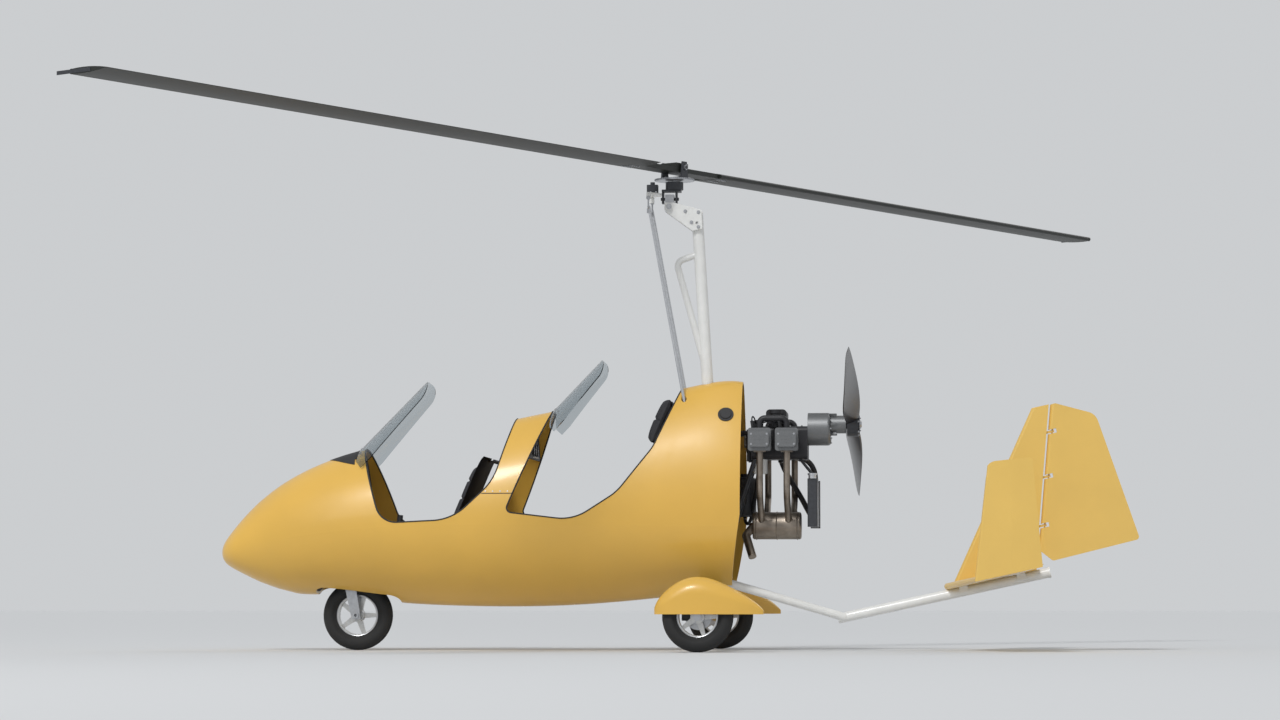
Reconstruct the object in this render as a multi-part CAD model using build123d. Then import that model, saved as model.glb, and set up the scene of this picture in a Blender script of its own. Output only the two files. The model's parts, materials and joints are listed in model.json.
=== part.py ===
from build123d import *
from math import atan2, cos, hypot, radians, sin, tan
import os

# Tandem open-cockpit gyrocopter, standing on its wheels.
# Millimetres: X 0 at the rotor axis, +X aft, +Y to starboard, +Z up, ground at Z 0.

# Pod: shell and cockpits
NOSE_X = -2365.0
POD_REAR_X = 356.0
POD_REAR_LOW_X = 286.0
POD_REAR_KINK_Z = 690.0
POD_WALL = 8.0
NOSE_WALL_SHARES = (1.8, 1.3)
FLOOR_Z = 330.0
FLOOR_THICK = 8.0
FLOOR_X = (-1385.0, 70.0)
FIREWALL_X = 100.0
FIREWALL_THICK = 5.0
HOOD_SEAM_Z = 800.0
HOOD_FRONT_X = -1050.0
HOOD_REAR_X = -560.0

# Stations of the pod: x, half width, height of the widest line, belly, crown, belly and crown roundness
POD_STATIONS = [
    (-2325, 84, 505, 436, 578, 0.80, 0.80),
    (-2240, 144, 530, 394, 694, 0.80, 0.80),
    (-2060, 235, 565, 328, 855, 0.78, 0.75),
    (-1800, 302, 600, 288, 985, 0.75, 0.70),
    (-1500, 338, 628, 252, 1066, 0.72, 0.62),
    (-1050, 346, 640, 228, 1150, 0.70, 0.52),
    (-600, 344, 640, 230, 1240, 0.70, 0.48),
    (-200, 338, 636, 258, 1306, 0.70, 0.42),
    (100, 330, 632, 286, 1362, 0.70, 0.36),
    (420, 318, 630, 300, 1366, 0.70, 0.32),
]

# Corners of the cockpit rims in side view: x, z, radius of the rounding
FRONT_RIM = [(-1624, 1090, 0), (-1478, 650, 110), (-1110, 668, 260), (-905, 865, 260), (-800, 1260, 0)]
REAR_RIM = [(-596, 1310, 0), (-842, 706, 26), (-490, 664, 240), (-270, 806, 260), (-92, 1036, 240), (62, 1390, 0)]

# Nosewheel well and steering
NOSE_AXLE_X = -1650.0
STEER_TRAIL = 34.0
STEER_X = NOSE_AXLE_X - STEER_TRAIL
WELL_HALF = 132.0
WELL_AHEAD = 208.0
WELL_BEHIND = 235.0
WELL_TOP_Z = 440.0
WELL_WALL = 4.0
WELL_CORNER_R = 55.0
STEM_R = 16.0
STEM_TOP_Z = 520.0
STEM_HOLE_R = 22.0
BEARING_TUBE_R = 28.0
BEARING_TUBE_HEIGHT = 60.0
CROWN_Z = (372.0, 392.0)
FORK_ARM = 12.0
FORK_GAP = 14.0

# Wheels and axles
NOSE_TYRE_R = 180.0
NOSE_TYRE_WIDTH = 92.0
NOSE_RIM_R = 108.0
NOSE_AXLE_R = 15.0
NOSE_AXLE_BORE_R = 8.0
MAIN_AXLE_X = 180.0
MAIN_TRACK = 1580.0
MAIN_TYRE_R = 175.0
MAIN_TYRE_WIDTH = 104.0
MAIN_RIM_R = 102.0
AXLE_R = 12.5
AXLE_INSET = 36.0
WHEEL_HUB_R = 34.0
SPOKES = 5
RUNNING_FIT = 0.05

# Leaf legs
LEG_X = 196.0
LEG_ROOT_WIDTH = 112.0
LEG_END_WIDTH = 58.0
LEG_THICK = 16.0
LEG_TOP_Z = 282.0
LEG_BEND_Y = 215.0
SADDLE_HALF = 120.0

# Spat stations about the wheel centre: x, half width, height of the crest; all end at the same foot
SPAT_WALL = 4.0
SPAT_LOW = 12.0
SPAT_STATIONS = [
    (-214, 16, 44),
    (-190, 50, 92),
    (-130, 73, 150),
    (-10, 82, 196),
    (120, 74, 166),
    (230, 48, 108),
    (300, 20, 58),
    (324, 7, 34),
]

# Keel and tail; the boom's own frame has u along the boom and w square to it
MAST_BASE = (229.0, 0.0, 412.0)
KEEL_BEND = (860.0, 0.0, 168.0)
BOOM_RISE = 12.3
BOOM_LENGTH = 1080.0
BOOM_R = 26.0
FORK_TUBE_R = 21.0
FORK_TUBE_Y = 150.0
STAB_THICK = 34.0
STAB_SPAN = 1500.0
STAB_ROOT = (546.0, 1035.0)
STAB_TIP = (763.0, 1046.0)
STAB_CORNER_R = 46.0
STAB_W = BOOM_R + STAB_THICK / 2 - 2
BRACKET_U = (640.0, 940.0)
TIP_FIN_ROOT = (700.0, 1040.0)
TIP_FIN_TOP = (892.0, 1112.0)
TIP_FIN_TOP_W = (590.0, 564.0)
TIP_FIN_THICK = 24.0
TIP_FIN_CORNER_R = 58.0
FIN_THICK = 44.0
FIN_TOP_W = 838.0
FIN_LEAD = (600.0, 1180.0)
HINGE_LOW = (1080.0, 129.0)
HINGE_HIGH = (1300.0, 838.0)
NOSE_GAP = 30.0
RUDDER_NOSE_R = 21.0
RUDDER_EDGE = 3.0
RUDDER_FOOT = (1114.0, 54.0)
RUDDER_LOW_TE = (1570.0, 68.0)
RUDDER_HIGH_TE = (1492.0, 740.0)
RUDDER_CORNER_R = 70.0
LUG_HEIGHTS = (240.0, 480.0, 700.0)
LUG_HALF = 6.0
LUG_GAP = 5.0
HINGE_PIN_R = 4.0

# Engine: flat four, crank along X
CRANK_Z = 1075.0
CASE_FRONT_X = 400.0
CASE_REAR_X = 690.0
CASE_HALF_WIDTH = 92.0
CASE_ABOVE = 74.0
CASE_BELOW = 96.0
CYLINDER_X = (462.0, 600.0)
CYLINDER_OFFSET = 10.0
BARREL_R = 44.0
BARREL_LENGTH = 74.0
FIN_R = 57.0
FIN_DISC = 3.5
FIN_PITCH = 10.5
FIN_COUNT = 6
HEAD_HALF = 58.0
HEAD_DEPTH = 78.0
HEAD_CORE_HALF = 46.0
HEAD_FINS = 5
ROCKER_REACH = 30.0
PORT_INSET = 42.0
MANIFOLD_R = 16.0
MANIFOLD_Z = CRANK_Z + 108.0
CARB_R = 27.0
CARB_Y = 128.0
AIRBOX = (478.0, 584.0, 92.0, CRANK_Z + 84.0, CRANK_Z + 160.0)
HEADER_R = 17.0
MUFFLER_R = 70.0
MUFFLER_X = (404.0, 654.0)
MUFFLER_Z = 640.0
TAILPIPE = [(410.0, -20.0, 640.0), (372.0, -60.0, 590.0), (410.0, -128.0, 478.0)]
RADIATOR_X = (700.0, 738.0)
RADIATOR_HALF = 190.0
RADIATOR_Z = (634.0, 872.0)
RADIATOR_TANK = 26.0
OIL_TANK = (352.0, 172.0, 690.0)
OIL_TANK_R = 60.0
OIL_TANK_HEIGHT = 205.0
STRUT_R = 12.0

# Propeller
PROP_X = 920.0
PROP_Z = 1160.0
PROP_DIAMETER = 1700.0
PROP_AZIMUTH = 68.0
PROP_HUB_R = 62.0
PROP_HUB_THICK = 56.0
PROP_SHAFT_R = 22.0
GEARBOX_R = 84.0
GEARBOX_DROP = 24.0
GEARBOX_LENGTH = 118.0
NOSE_CASE_R = 46.0

# Propeller blade: radius, chord, thickness, pitch
PROP_BLADE = [
    (40, 62, 40, 62),
    (190, 112, 27, 45),
    (430, 138, 17, 27),
    (660, 112, 11, 19),
    (PROP_DIAMETER / 2, 56, 5, 15),
]

# Mast and rotor head
MAST_CLEAR = 6.0
MAST_TOP = (118.0, 0.0, 2262.0)
MAST_R = 30.0
BRACE_R = 17.0
BRACE = [(166.0, 0.0, 1440.0), (10.0, 0.0, 2008.0), (134.0, 0.0, 2052.0)]
BRACE_BEND_R = 36.0
PUSH_ROD_R = 8.0
PUSH_ROD_FOOT = (88.0, 110.0, 1120.0)
PUSH_ROD_TOP_Y = 94.0
PIVOT_X = -24.0
PITCH_Z = 2292.0
ROLL_Z = 2336.0
CHEEK_Y = 38.0
CHEEK_THICK = 8.0
LIFT_PIN = (120.0, 2206.0)
LIFT_PIN_R = 8.0
GIMBAL_HALF = 23.0
PIVOT_BOLT_R = 8.0
BEARING_R = 46.0
BEARING_Z = (2384.0, 2424.0)
SPINDLE_R = 16.0
RING_GEAR_R = 104.0
RING_GEAR_Z = (2431.0, 2439.0)
RING_GEAR_TEETH = 60
TOOTH_HEIGHT = 4.0
TEETER_Z = 2498.0
TEETER_BOLT_R = 9.0
TOWER_HALF_GAP = 58.0
TOWER_THICK = 9.0
TOWER_TOP_Z = 2528.0
PLATE_FRONT_X = PIVOT_X - GIMBAL_HALF - 87.0
PLATE_REAR_X = PIVOT_X - GIMBAL_HALF - 17.0
PLATE_Z = ROLL_Z + 20.0
PLATE_THICK = 8.0
STARTER_X = -114.0
STARTER_HALF = 29.0
STARTER_HEIGHT = 46.0
PINION_R = 12.0

# Rotor
ROTOR_DIAMETER = 8500.0
ROTOR_AZIMUTH = 58.6
BLADE_CHORD = 220.0
BLADE_THICK = 27.0
BLADE_ROOT_R = 330.0
BLADE_DROP = 14.0
HUB_BAR_R = 430.0
HUB_BAR_WIDTH = 100.0
HUB_BAR_THICK = 24.0

# Windscreens: x and z of the middle of the foot and of the top, width at foot and top, corner radius
FRONT_SCREEN = (-1672.0, 1004.0, -1290.0, 1392.0, 430.0, 350.0, 90.0)
REAR_SCREEN = (-676.0, 1188.0, -376.0, 1500.0, 370.0, 300.0, 80.0)
SCREEN_THICK = 4.0
SCREEN_BOW = 95.0

# Cockpit fittings
FRONT_SEAT = (-1130.0, 22.5, 540.0, 265.0, 380.0)
REAR_SEAT = (-205.0, 26.0, 560.0, 400.0, 350.0)
SEAT_PAN_DEPTH = 90.0
HEADREST = [(-150.0, 1058.0), (-94.0, 1040.0), (18.0, 1296.0), (-34.0, 1318.0)]
HEADREST_HALF = 96.0
HEADREST_ARM_Z = 1170.0
PANEL_THICK = 14.0
FRONT_PANEL = (-1640.0, 838.0)
REAR_PANEL = (-742.0, 986.0)
DIAL_R = 31.0
DIAL_SPACING = 78.0
STICK_R = 9.0
GRIP_R = 15.0
GRIP_LENGTH = 110.0
STICKS = [(-1462.0, WELL_TOP_Z, 700.0), (-700.0, FLOOR_Z + FLOOR_THICK, 620.0)]
PEDAL_X = -1800.0
PEDAL_Y = 78.0

TAIL = Plane(
    origin=KEEL_BEND,
    x_dir=(cos(radians(BOOM_RISE)), 0, sin(radians(BOOM_RISE))),
    z_dir=(-sin(radians(BOOM_RISE)), 0, cos(radians(BOOM_RISE))),
)


def block(x0, x1, y0, y1, z0, z1):
    """Box between two corners."""
    size = (x1 - x0, y1 - y0, z1 - z0)
    return Pos((x0 + x1) / 2, (y0 + y1) / 2, (z0 + z1) / 2) * Box(*size)


def rod(start, end, radius):
    """Round bar from one point to another."""
    a, b = Vector(*start), Vector(*end)
    along = b - a
    low = (Align.CENTER, Align.CENTER, Align.MIN)
    return Plane(origin=a, z_dir=along) * Cylinder(radius, along.length, align=low)


def outline_face(points, radius):
    """Face inside corner points, all rounded by one radius or each by its own."""
    if not radius:
        return make_face(Polyline(*points, close=True))
    return make_face(FilletPolyline(*points, radius=radius, close=True))


def side_plate(outline, y0, y1, radius=0):
    """Plate with an x, z outline, from y0 to y1."""
    points = [(x, y0, z) for x, z in outline]
    return extrude(outline_face(points, radius), amount=y1 - y0, dir=(0, 1, 0))


def plan_plate(outline, z0, z1, radius=0):
    """Plate with an x, y outline, from z0 to z1."""
    points = [(x, y, z0) for x, y in outline]
    return extrude(outline_face(points, radius), amount=z1 - z0, dir=(0, 0, 1))


def bent_tube(points, bend_radius, radius):
    """Round bar swept along straight runs joined by arcs."""
    path = FilletPolyline(*points, radius=bend_radius)
    return sweep(Plane(origin=path @ 0, z_dir=path % 0) * Circle(radius), path=path)


def joined(pieces):
    """All pieces as one shape."""
    total = pieces[0]
    for piece in pieces[1:]:
        total = total + piece
    return total


def arc_pair(half_width, height, roundness):
    """Radii of the side arc and cap arc that round one quarter of a section."""
    small = roundness * min(half_width, height)
    if height <= half_width:
        large = ((half_width - small) ** 2 + height**2 - small**2) / (2 * (height - small))
        return small, large
    large = ((height - small) ** 2 + half_width**2 - small**2) / (2 * (half_width - small))
    return large, small


def quarter_points(half_width, height, roundness):
    """Middle of the side arc, and the point where it meets the cap arc."""
    side_r, cap_r = arc_pair(half_width, height, roundness)
    side_c = (half_width - side_r, 0.0)
    cap_c = (0.0, height - cap_r)
    apart = hypot(cap_c[0] - side_c[0], cap_c[1] - side_c[1])
    if side_r > cap_r:
        reach = side_r / apart
        meet = (side_c[0] + (cap_c[0] - side_c[0]) * reach, side_c[1] + (cap_c[1] - side_c[1]) * reach)
    else:
        reach = cap_r / apart
        meet = (cap_c[0] + (side_c[0] - cap_c[0]) * reach, cap_c[1] + (side_c[1] - cap_c[1]) * reach)
    half_turn = atan2(meet[1] - side_c[1], meet[0] - side_c[0]) / 2
    middle = (side_c[0] + side_r * cos(half_turn), side_c[1] + side_r * sin(half_turn))
    return middle, meet


def pod_section(station, inset):
    """One closed section of the pod, drawn in by inset, of six arcs."""
    x, half_width, waist, belly, crown, belly_round, crown_round = station
    width = half_width - inset
    up, down = crown - waist - inset, waist - belly - inset
    up_mid, up_meet = quarter_points(width, up, crown_round)
    low_mid, low_meet = quarter_points(width, down, belly_round)
    arcs = [
        ThreePointArc((width, 0), up_mid, up_meet),
        ThreePointArc(up_meet, (0, up), (-up_meet[0], up_meet[1])),
        ThreePointArc((-up_meet[0], up_meet[1]), (-up_mid[0], up_mid[1]), (-width, 0)),
        ThreePointArc((-width, 0), (-low_mid[0], -low_mid[1]), (-low_meet[0], -low_meet[1])),
        ThreePointArc((-low_meet[0], -low_meet[1]), (0, -down), (low_meet[0], -low_meet[1])),
        ThreePointArc((low_meet[0], -low_meet[1]), (low_mid[0], -low_mid[1]), (width, 0)),
    ]
    return Plane(origin=(x, 0, waist), x_dir=(0, 1, 0), z_dir=(1, 0, 0)) * make_face(arcs)


def nose_cap():
    """Blunt nose ahead of the first station: a cap of a sphere, flattened to the section's height."""
    x, half_width, _, belly, crown = POD_STATIONS[0][:5]
    depth = x - NOSE_X
    radius = (half_width**2 + depth**2) / (2 * depth)
    half_turn = atan2(half_width, radius - depth) / 2
    middle = (radius * (1 - cos(half_turn)), radius * sin(half_turn))
    overlap = 6.0
    profile = [
        ThreePointArc((0, 0), middle, (depth, half_width)),
        Line((depth, half_width), (depth + overlap, half_width)),
        Line((depth + overlap, half_width), (depth + overlap, 0)),
        Line((depth + overlap, 0), (0, 0)),
    ]
    cap = revolve(make_face(profile), axis=Axis.X)
    flat = scale(cap, by=(1, 1, (crown - belly) / (2 * half_width)))
    return Pos(NOSE_X, 0, (crown + belly) / 2) * flat


def pod_form():
    """The pod's outer form as one solid: the lofted body and its blunt nose."""
    return loft([pod_section(station, 0) for station in POD_STATIONS]) + nose_cap()


def pod_space():
    """The space inside the pod's wall, from behind the solid nose to the last station."""
    stations = POD_STATIONS[1:]
    shares = list(NOSE_WALL_SHARES) + [1.0] * (len(stations) - len(NOSE_WALL_SHARES))
    return loft([pod_section(station, POD_WALL * share) for station, share in zip(stations, shares)])


def rim_cut(rim):
    """Everything above a cockpit rim."""
    sky = 1700.0
    outline = [(x, z) for x, z, _ in rim] + [(rim[-1][0], sky), (rim[0][0], sky)]
    return side_plate(outline, -500, 500, [radius for _, _, radius in rim] + [0, 0])


def well_box(grow, top):
    """Rounded box of the nosewheel well, grown sideways by its wall."""
    box = block(
        NOSE_AXLE_X - WELL_AHEAD - grow,
        NOSE_AXLE_X + WELL_BEHIND + grow,
        -WELL_HALF - grow,
        WELL_HALF + grow,
        150,
        top,
    )
    return fillet(box.edges().filter_by(Axis.Z), WELL_CORNER_R + grow)


def make_pod(form, space):
    """Hollow pod with both cockpits, the open tail end and the nosewheel arch, and the hood apart."""
    shell = form - space
    rear_cut = [
        (POD_REAR_LOW_X, 200),
        (POD_REAR_X, POD_REAR_KINK_Z),
        (POD_REAR_X, 1500),
        (900, 1500),
        (900, 200),
    ]
    shell = shell - rim_cut(FRONT_RIM) - rim_cut(REAR_RIM) - side_plate(rear_cut, -500, 500)
    shell = shell - well_box(0, WELL_TOP_Z) - rod(MAST_BASE, MAST_TOP, MAST_R + MAST_CLEAR)
    for low, high in push_rod_ends():
        shell = shell - rod(low, high, PUSH_ROD_R + MAST_CLEAR)
    for start, end in fork_tube_ends():
        shell = shell - rod(start, end, FORK_TUBE_R + MAST_CLEAR)
    hood_space = block(HOOD_FRONT_X, HOOD_REAR_X, -450, 450, HOOD_SEAM_Z, 1500)
    return shell - hood_space, shell & hood_space


def make_wheel_well(space):
    """Tub over the nosewheel."""
    tub = (well_box(WELL_WALL, WELL_TOP_Z) - well_box(0, WELL_TOP_Z - WELL_WALL)) & space
    return tub - rod((STEER_X, 0, WELL_TOP_Z - 40), (STEER_X, 0, WELL_TOP_Z + 60), STEM_HOLE_R)


def make_steering():
    """Bearing tube over the wheel well, and the nose fork with its stem and hollow axle."""
    bearing = rod((STEER_X, 0, WELL_TOP_Z), (STEER_X, 0, WELL_TOP_Z + BEARING_TUBE_HEIGHT), BEARING_TUBE_R)
    bearing = bearing - rod((STEER_X, 0, WELL_TOP_Z - 5), (STEER_X, 0, STEM_TOP_Z + 10), STEM_R + RUNNING_FIT)
    arm_y = NOSE_TYRE_WIDTH / 2 + FORK_GAP
    fork = rod((STEER_X, 0, CROWN_Z[0]), (STEER_X, 0, STEM_TOP_Z), STEM_R)
    crown = block(STEER_X - 34, STEER_X + 40, -arm_y - FORK_ARM, arm_y + FORK_ARM, *CROWN_Z)
    fork = fork + fillet(crown.edges().filter_by(Axis.Z), 10)
    arm_outline = [
        (STEER_X - 26, CROWN_Z[1]),
        (STEER_X - 26, 330),
        (NOSE_AXLE_X - 22, NOSE_TYRE_R - 20),
        (NOSE_AXLE_X + 24, NOSE_TYRE_R - 20),
        (STEER_X + 32, 330),
        (STEER_X + 32, CROWN_Z[1]),
    ]
    for side in (-1, 1):
        y0, y1 = sorted((side * arm_y, side * (arm_y + FORK_ARM)))
        fork = fork + side_plate(arm_outline, y0, y1, 8)
    reach = arm_y + FORK_ARM + 12
    axle = rod((NOSE_AXLE_X, -reach, NOSE_TYRE_R), (NOSE_AXLE_X, reach, NOSE_TYRE_R), NOSE_AXLE_R)
    bore = rod((NOSE_AXLE_X, -reach - 5, NOSE_TYRE_R), (NOSE_AXLE_X, reach + 5, NOSE_TYRE_R), NOSE_AXLE_BORE_R)
    return bearing, fork + axle - bore


def wheel_tyre(radius, width, rim_r):
    """Tyre with a rounded tread, about its own axle along Y."""
    half = width / 2
    bead = half * 0.62
    wall_r = radius - 0.42 * width
    tread_half = half * 0.30
    crest = (radius - 0.10 * width, half * 0.86)
    outline = [
        Line((rim_r, bead), (wall_r, half)),
        ThreePointArc((wall_r, half), crest, (radius, tread_half)),
        Line((radius, tread_half), (radius, -tread_half)),
        ThreePointArc((radius, -tread_half), (crest[0], -crest[1]), (wall_r, -half)),
        Line((wall_r, -half), (rim_r, -bead)),
        Line((rim_r, -bead), (rim_r, bead)),
    ]
    return revolve(make_face(outline), axis=Axis.Y)


def wheel_rim(rim_r, width, bore_r):
    """Cast rim with a barrel, a dished hub and tapered spokes, about its own axle along Y."""
    half = width * 0.31
    barrel = Rot(90, 0, 0) * (Cylinder(rim_r, 2 * half) - Cylinder(rim_r - 9, 2 * half + 2))
    hub = Rot(90, 0, 0) * (Cylinder(WHEEL_HUB_R, 2 * half + 6) + Cylinder(WHEEL_HUB_R - 10, 2 * half + 16))
    rim = barrel + hub
    spoke_outline = [(WHEEL_HUB_R - 6, -15), (rim_r - 5, -9), (rim_r - 5, 9), (WHEEL_HUB_R - 6, 15)]
    for turn in range(SPOKES):
        rim = rim + Rot(0, turn * 360 / SPOKES, 0) * side_plate(spoke_outline, -9, 9)
    return rim - Rot(90, 0, 0) * Cylinder(bore_r, 4 * half)


def leg_end_y():
    """Inboard face of the axle block, at the end of the leaf."""
    return MAIN_TRACK / 2 - MAIN_TYRE_WIDTH / 2 - AXLE_INSET


def make_legs():
    """Leaf spring across the belly, tapering to its axle blocks."""
    end_y = leg_end_y()
    top, low = LEG_TOP_Z, MAIN_TYRE_R - 6
    slope = atan2(top - low, end_y - LEG_BEND_Y)
    outline = [(-end_y, low), (-LEG_BEND_Y, top), (LEG_BEND_Y, top), (end_y, low)]
    lower = [(end_y - 4, low - LEG_THICK), (LEG_BEND_Y - LEG_THICK * tan(slope / 2), top - LEG_THICK)]
    lower = lower + [(-y, z) for y, z in reversed(lower)]
    points = [(LEG_X - 100, y, z) for y, z in outline + lower]
    leaf = extrude(make_face(Polyline(*points, close=True)), amount=200, dir=(1, 0, 0))
    half_root, half_end = LEG_ROOT_WIDTH / 2, LEG_END_WIDTH / 2
    plan = [
        (LEG_X - half_root, -LEG_BEND_Y),
        (LEG_X - half_root, LEG_BEND_Y),
        (MAIN_AXLE_X - half_end, end_y + 5),
        (MAIN_AXLE_X + half_end, end_y + 5),
        (LEG_X + half_root, LEG_BEND_Y),
        (LEG_X + half_root, -LEG_BEND_Y),
        (MAIN_AXLE_X + half_end, -end_y - 5),
        (MAIN_AXLE_X - half_end, -end_y - 5),
    ]
    return leaf & plan_plate(plan, 0, 600)


def make_axle(side):
    """Axle block and stub axle of one main wheel."""
    inner = leg_end_y()
    outer = MAIN_TRACK / 2 + MAIN_TYRE_WIDTH * 0.31 + 14
    foot = block(MAIN_AXLE_X - 26, MAIN_AXLE_X + 26, inner, inner + 14, MAIN_TYRE_R - 34, MAIN_TYRE_R + 30)
    axle = rod((MAIN_AXLE_X, inner, MAIN_TYRE_R), (MAIN_AXLE_X, outer, MAIN_TYRE_R), AXLE_R)
    nut = rod((MAIN_AXLE_X, outer - 4, MAIN_TYRE_R), (MAIN_AXLE_X, outer + 6, MAIN_TYRE_R), 20)
    stub = foot + axle + nut
    return stub if side > 0 else mirror(stub, about=Plane.XZ)


def spat_section(x, half_width, crest, low):
    """Section of a spat: upright sides under a half-round crest."""
    spring = crest - half_width
    arch = [
        Line((-half_width, low), (-half_width, spring)),
        ThreePointArc((-half_width, spring), (0, crest), (half_width, spring)),
        Line((half_width, spring), (half_width, low)),
        Line((half_width, low), (-half_width, low)),
    ]
    return Plane(origin=(x, 0, 0), x_dir=(0, 1, 0), z_dir=(1, 0, 0)) * make_face(arch)


def make_spat(side):
    """Hollow spat over the upper half of one main wheel, with a slot for the leg and axle."""
    outer = loft([spat_section(x, half, crest, SPAT_LOW) for x, half, crest in SPAT_STATIONS])
    inner_stations = SPAT_STATIONS[1:-1]
    low = SPAT_LOW - 30
    inner = loft([spat_section(x, half - SPAT_WALL, crest - SPAT_WALL, low) for x, half, crest in inner_stations])
    shell = Pos(MAIN_AXLE_X, side * MAIN_TRACK / 2, MAIN_TYRE_R) * (outer - inner)
    y0, y1 = sorted((side * (MAIN_TRACK / 2 - 100), side * (MAIN_TRACK / 2 - 60)))
    return shell - block(MAIN_AXLE_X - 32, MAIN_AXLE_X + 32, y0, y1, 100, MAIN_TYRE_R + 34)


def fork_tube_ends():
    """Front and rear end of each tube of the keel fork."""
    front_x, front_z = MAST_BASE[0] - 110, MAST_BASE[2] - 20
    rear_x, rear_z = KEEL_BEND[0] + 18, KEEL_BEND[2] + 2
    return [((front_x, side * FORK_TUBE_Y, front_z), (rear_x, side * 10, rear_z)) for side in (-1, 1)]


def make_keel():
    """Tail boom with its plug and tailplane brackets, and the fork of two tubes under the pod."""
    boom = Pos(BOOM_LENGTH / 2 - 10, 0, 0) * Rot(0, 90, 0) * Cylinder(BOOM_R, BOOM_LENGTH + 20)
    boom = boom + Pos(BOOM_LENGTH + 4, 0, 0) * Rot(0, 90, 0) * Cylinder(BOOM_R + 3, 10)
    for u in BRACKET_U:
        boom = boom + block(u - 22, u + 22, -BOOM_R - 7, BOOM_R + 7, -6, BOOM_R)
    boom = TAIL * boom
    foot_x, _, foot_z = MAST_BASE
    forks = block(foot_x - 60, foot_x + 30, -FORK_TUBE_Y - 16, FORK_TUBE_Y + 16, foot_z - 60, foot_z)
    for start, end in fork_tube_ends():
        forks = forks + rod(start, end, FORK_TUBE_R)
    return boom, forks - boom


def make_saddle(form):
    """Saddle between the leaf spring and the curved belly."""
    return block(LEG_X - 56, LEG_X + 56, -SADDLE_HALF, SADDLE_HALF, LEG_TOP_Z, LEG_TOP_Z + 60) - form


def make_floor(space):
    """Cockpit floor from wall to wall."""
    return block(*FLOOR_X, -400, 400, FLOOR_Z, FLOOR_Z + FLOOR_THICK) & space


def make_firewall(space):
    """Firewall behind the rear seat, with the push rods' lugs and the headrest arms on its front."""
    wall = block(FIREWALL_X, FIREWALL_X + FIREWALL_THICK, -450, 450, 200, 1500) & space
    foot_x, foot_y, foot_z = PUSH_ROD_FOOT
    for side in (-1, 1):
        y = side * foot_y
        wall = wall + block(foot_x - 14, FIREWALL_X, y - 13, y + 13, foot_z - 26, foot_z + 6)
        wall = wall + rod((-40, side * 52, HEADREST_ARM_Z), (FIREWALL_X, side * 52, HEADREST_ARM_Z), 9)
    for low, high in push_rod_ends():
        wall = wall - rod(low, high, PUSH_ROD_R)
    return wall - make_headrest()


def make_headrest():
    """Pad on the fairing's front edge, behind the rear occupant's head."""
    return side_plate(HEADREST, -HEADREST_HALF, HEADREST_HALF, 16)


def aerofoil_panel(root, tip, reach, thick, tip_thick, edge_share=0.09):
    """Flat-sided panel from root to tip along Z, rounded in front and thin behind."""
    sections = []
    for (lead, trail), height, deep in ((root, 0, thick), (tip, reach, tip_thick)):
        nose = deep / 2
        edge = deep * edge_share
        shoulder = lead + (trail - lead) * 0.55
        outline = [
            ThreePointArc((lead + nose, -nose), (lead, 0), (lead + nose, nose)),
            Line((lead + nose, nose), (shoulder, nose)),
            Line((shoulder, nose), (trail, edge)),
            Line((trail, edge), (trail, -edge)),
            Line((trail, -edge), (shoulder, -nose)),
            Line((shoulder, -nose), (lead + nose, -nose)),
        ]
        sections.append(Pos(0, 0, height) * make_face(outline))
    return loft(sections, ruled=True)


def make_stabiliser():
    """Tailplane on top of the boom, its leading corners rounded."""
    reach = STAB_SPAN / 2
    half = Rot(-90, 0, 0) * aerofoil_panel(STAB_ROOT, STAB_TIP, reach, STAB_THICK, STAB_THICK * 0.7)
    corner = [(STAB_ROOT[0] - 5, 0), (STAB_TIP[0] - 5, reach), (STAB_TIP[1] + 5, reach), (STAB_ROOT[1] + 5, 0)]
    half = half & plan_plate(corner, -60, 60, [0, STAB_CORNER_R, 12, 0])
    whole = half + mirror(half, about=Plane.XZ)
    return TAIL * (Pos(0, 0, STAB_W) * whole) - make_keel()[0]


def make_tip_fin(side):
    """Upright fin at one tip of the tailplane, its top corners rounded."""
    low = STAB_W - STAB_THICK * 0.35
    high = TIP_FIN_TOP_W[0]
    fin = aerofoil_panel(TIP_FIN_ROOT, TIP_FIN_TOP, high - low, TIP_FIN_THICK, TIP_FIN_THICK * 0.7)
    outline = [
        (TIP_FIN_ROOT[0] - 8, low),
        (TIP_FIN_TOP[0] - 8, high),
        (TIP_FIN_TOP[1] + 4, TIP_FIN_TOP_W[1]),
        (TIP_FIN_ROOT[1] + 4, low),
    ]
    fin = Pos(0, 0, low) * fin & side_plate(outline, -40, 40, [0, TIP_FIN_CORNER_R, 26, 0])
    y = side * (STAB_SPAN / 2 + TIP_FIN_THICK / 2)
    return TAIL * (Pos(0, y, 0) * fin)


def hinge_point(w):
    """Place of the rudder hinge along the boom at height w."""
    share = (w - HINGE_LOW[1]) / (HINGE_HIGH[1] - HINGE_LOW[1])
    return HINGE_LOW[0] + share * (HINGE_HIGH[0] - HINGE_LOW[0])


def hinge_rod(radius, low, high):
    """Round bar on the rudder's hinge line between two heights, in the boom's frame."""
    return rod((hinge_point(low), 0, low), (hinge_point(high), 0, high), radius)


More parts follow.
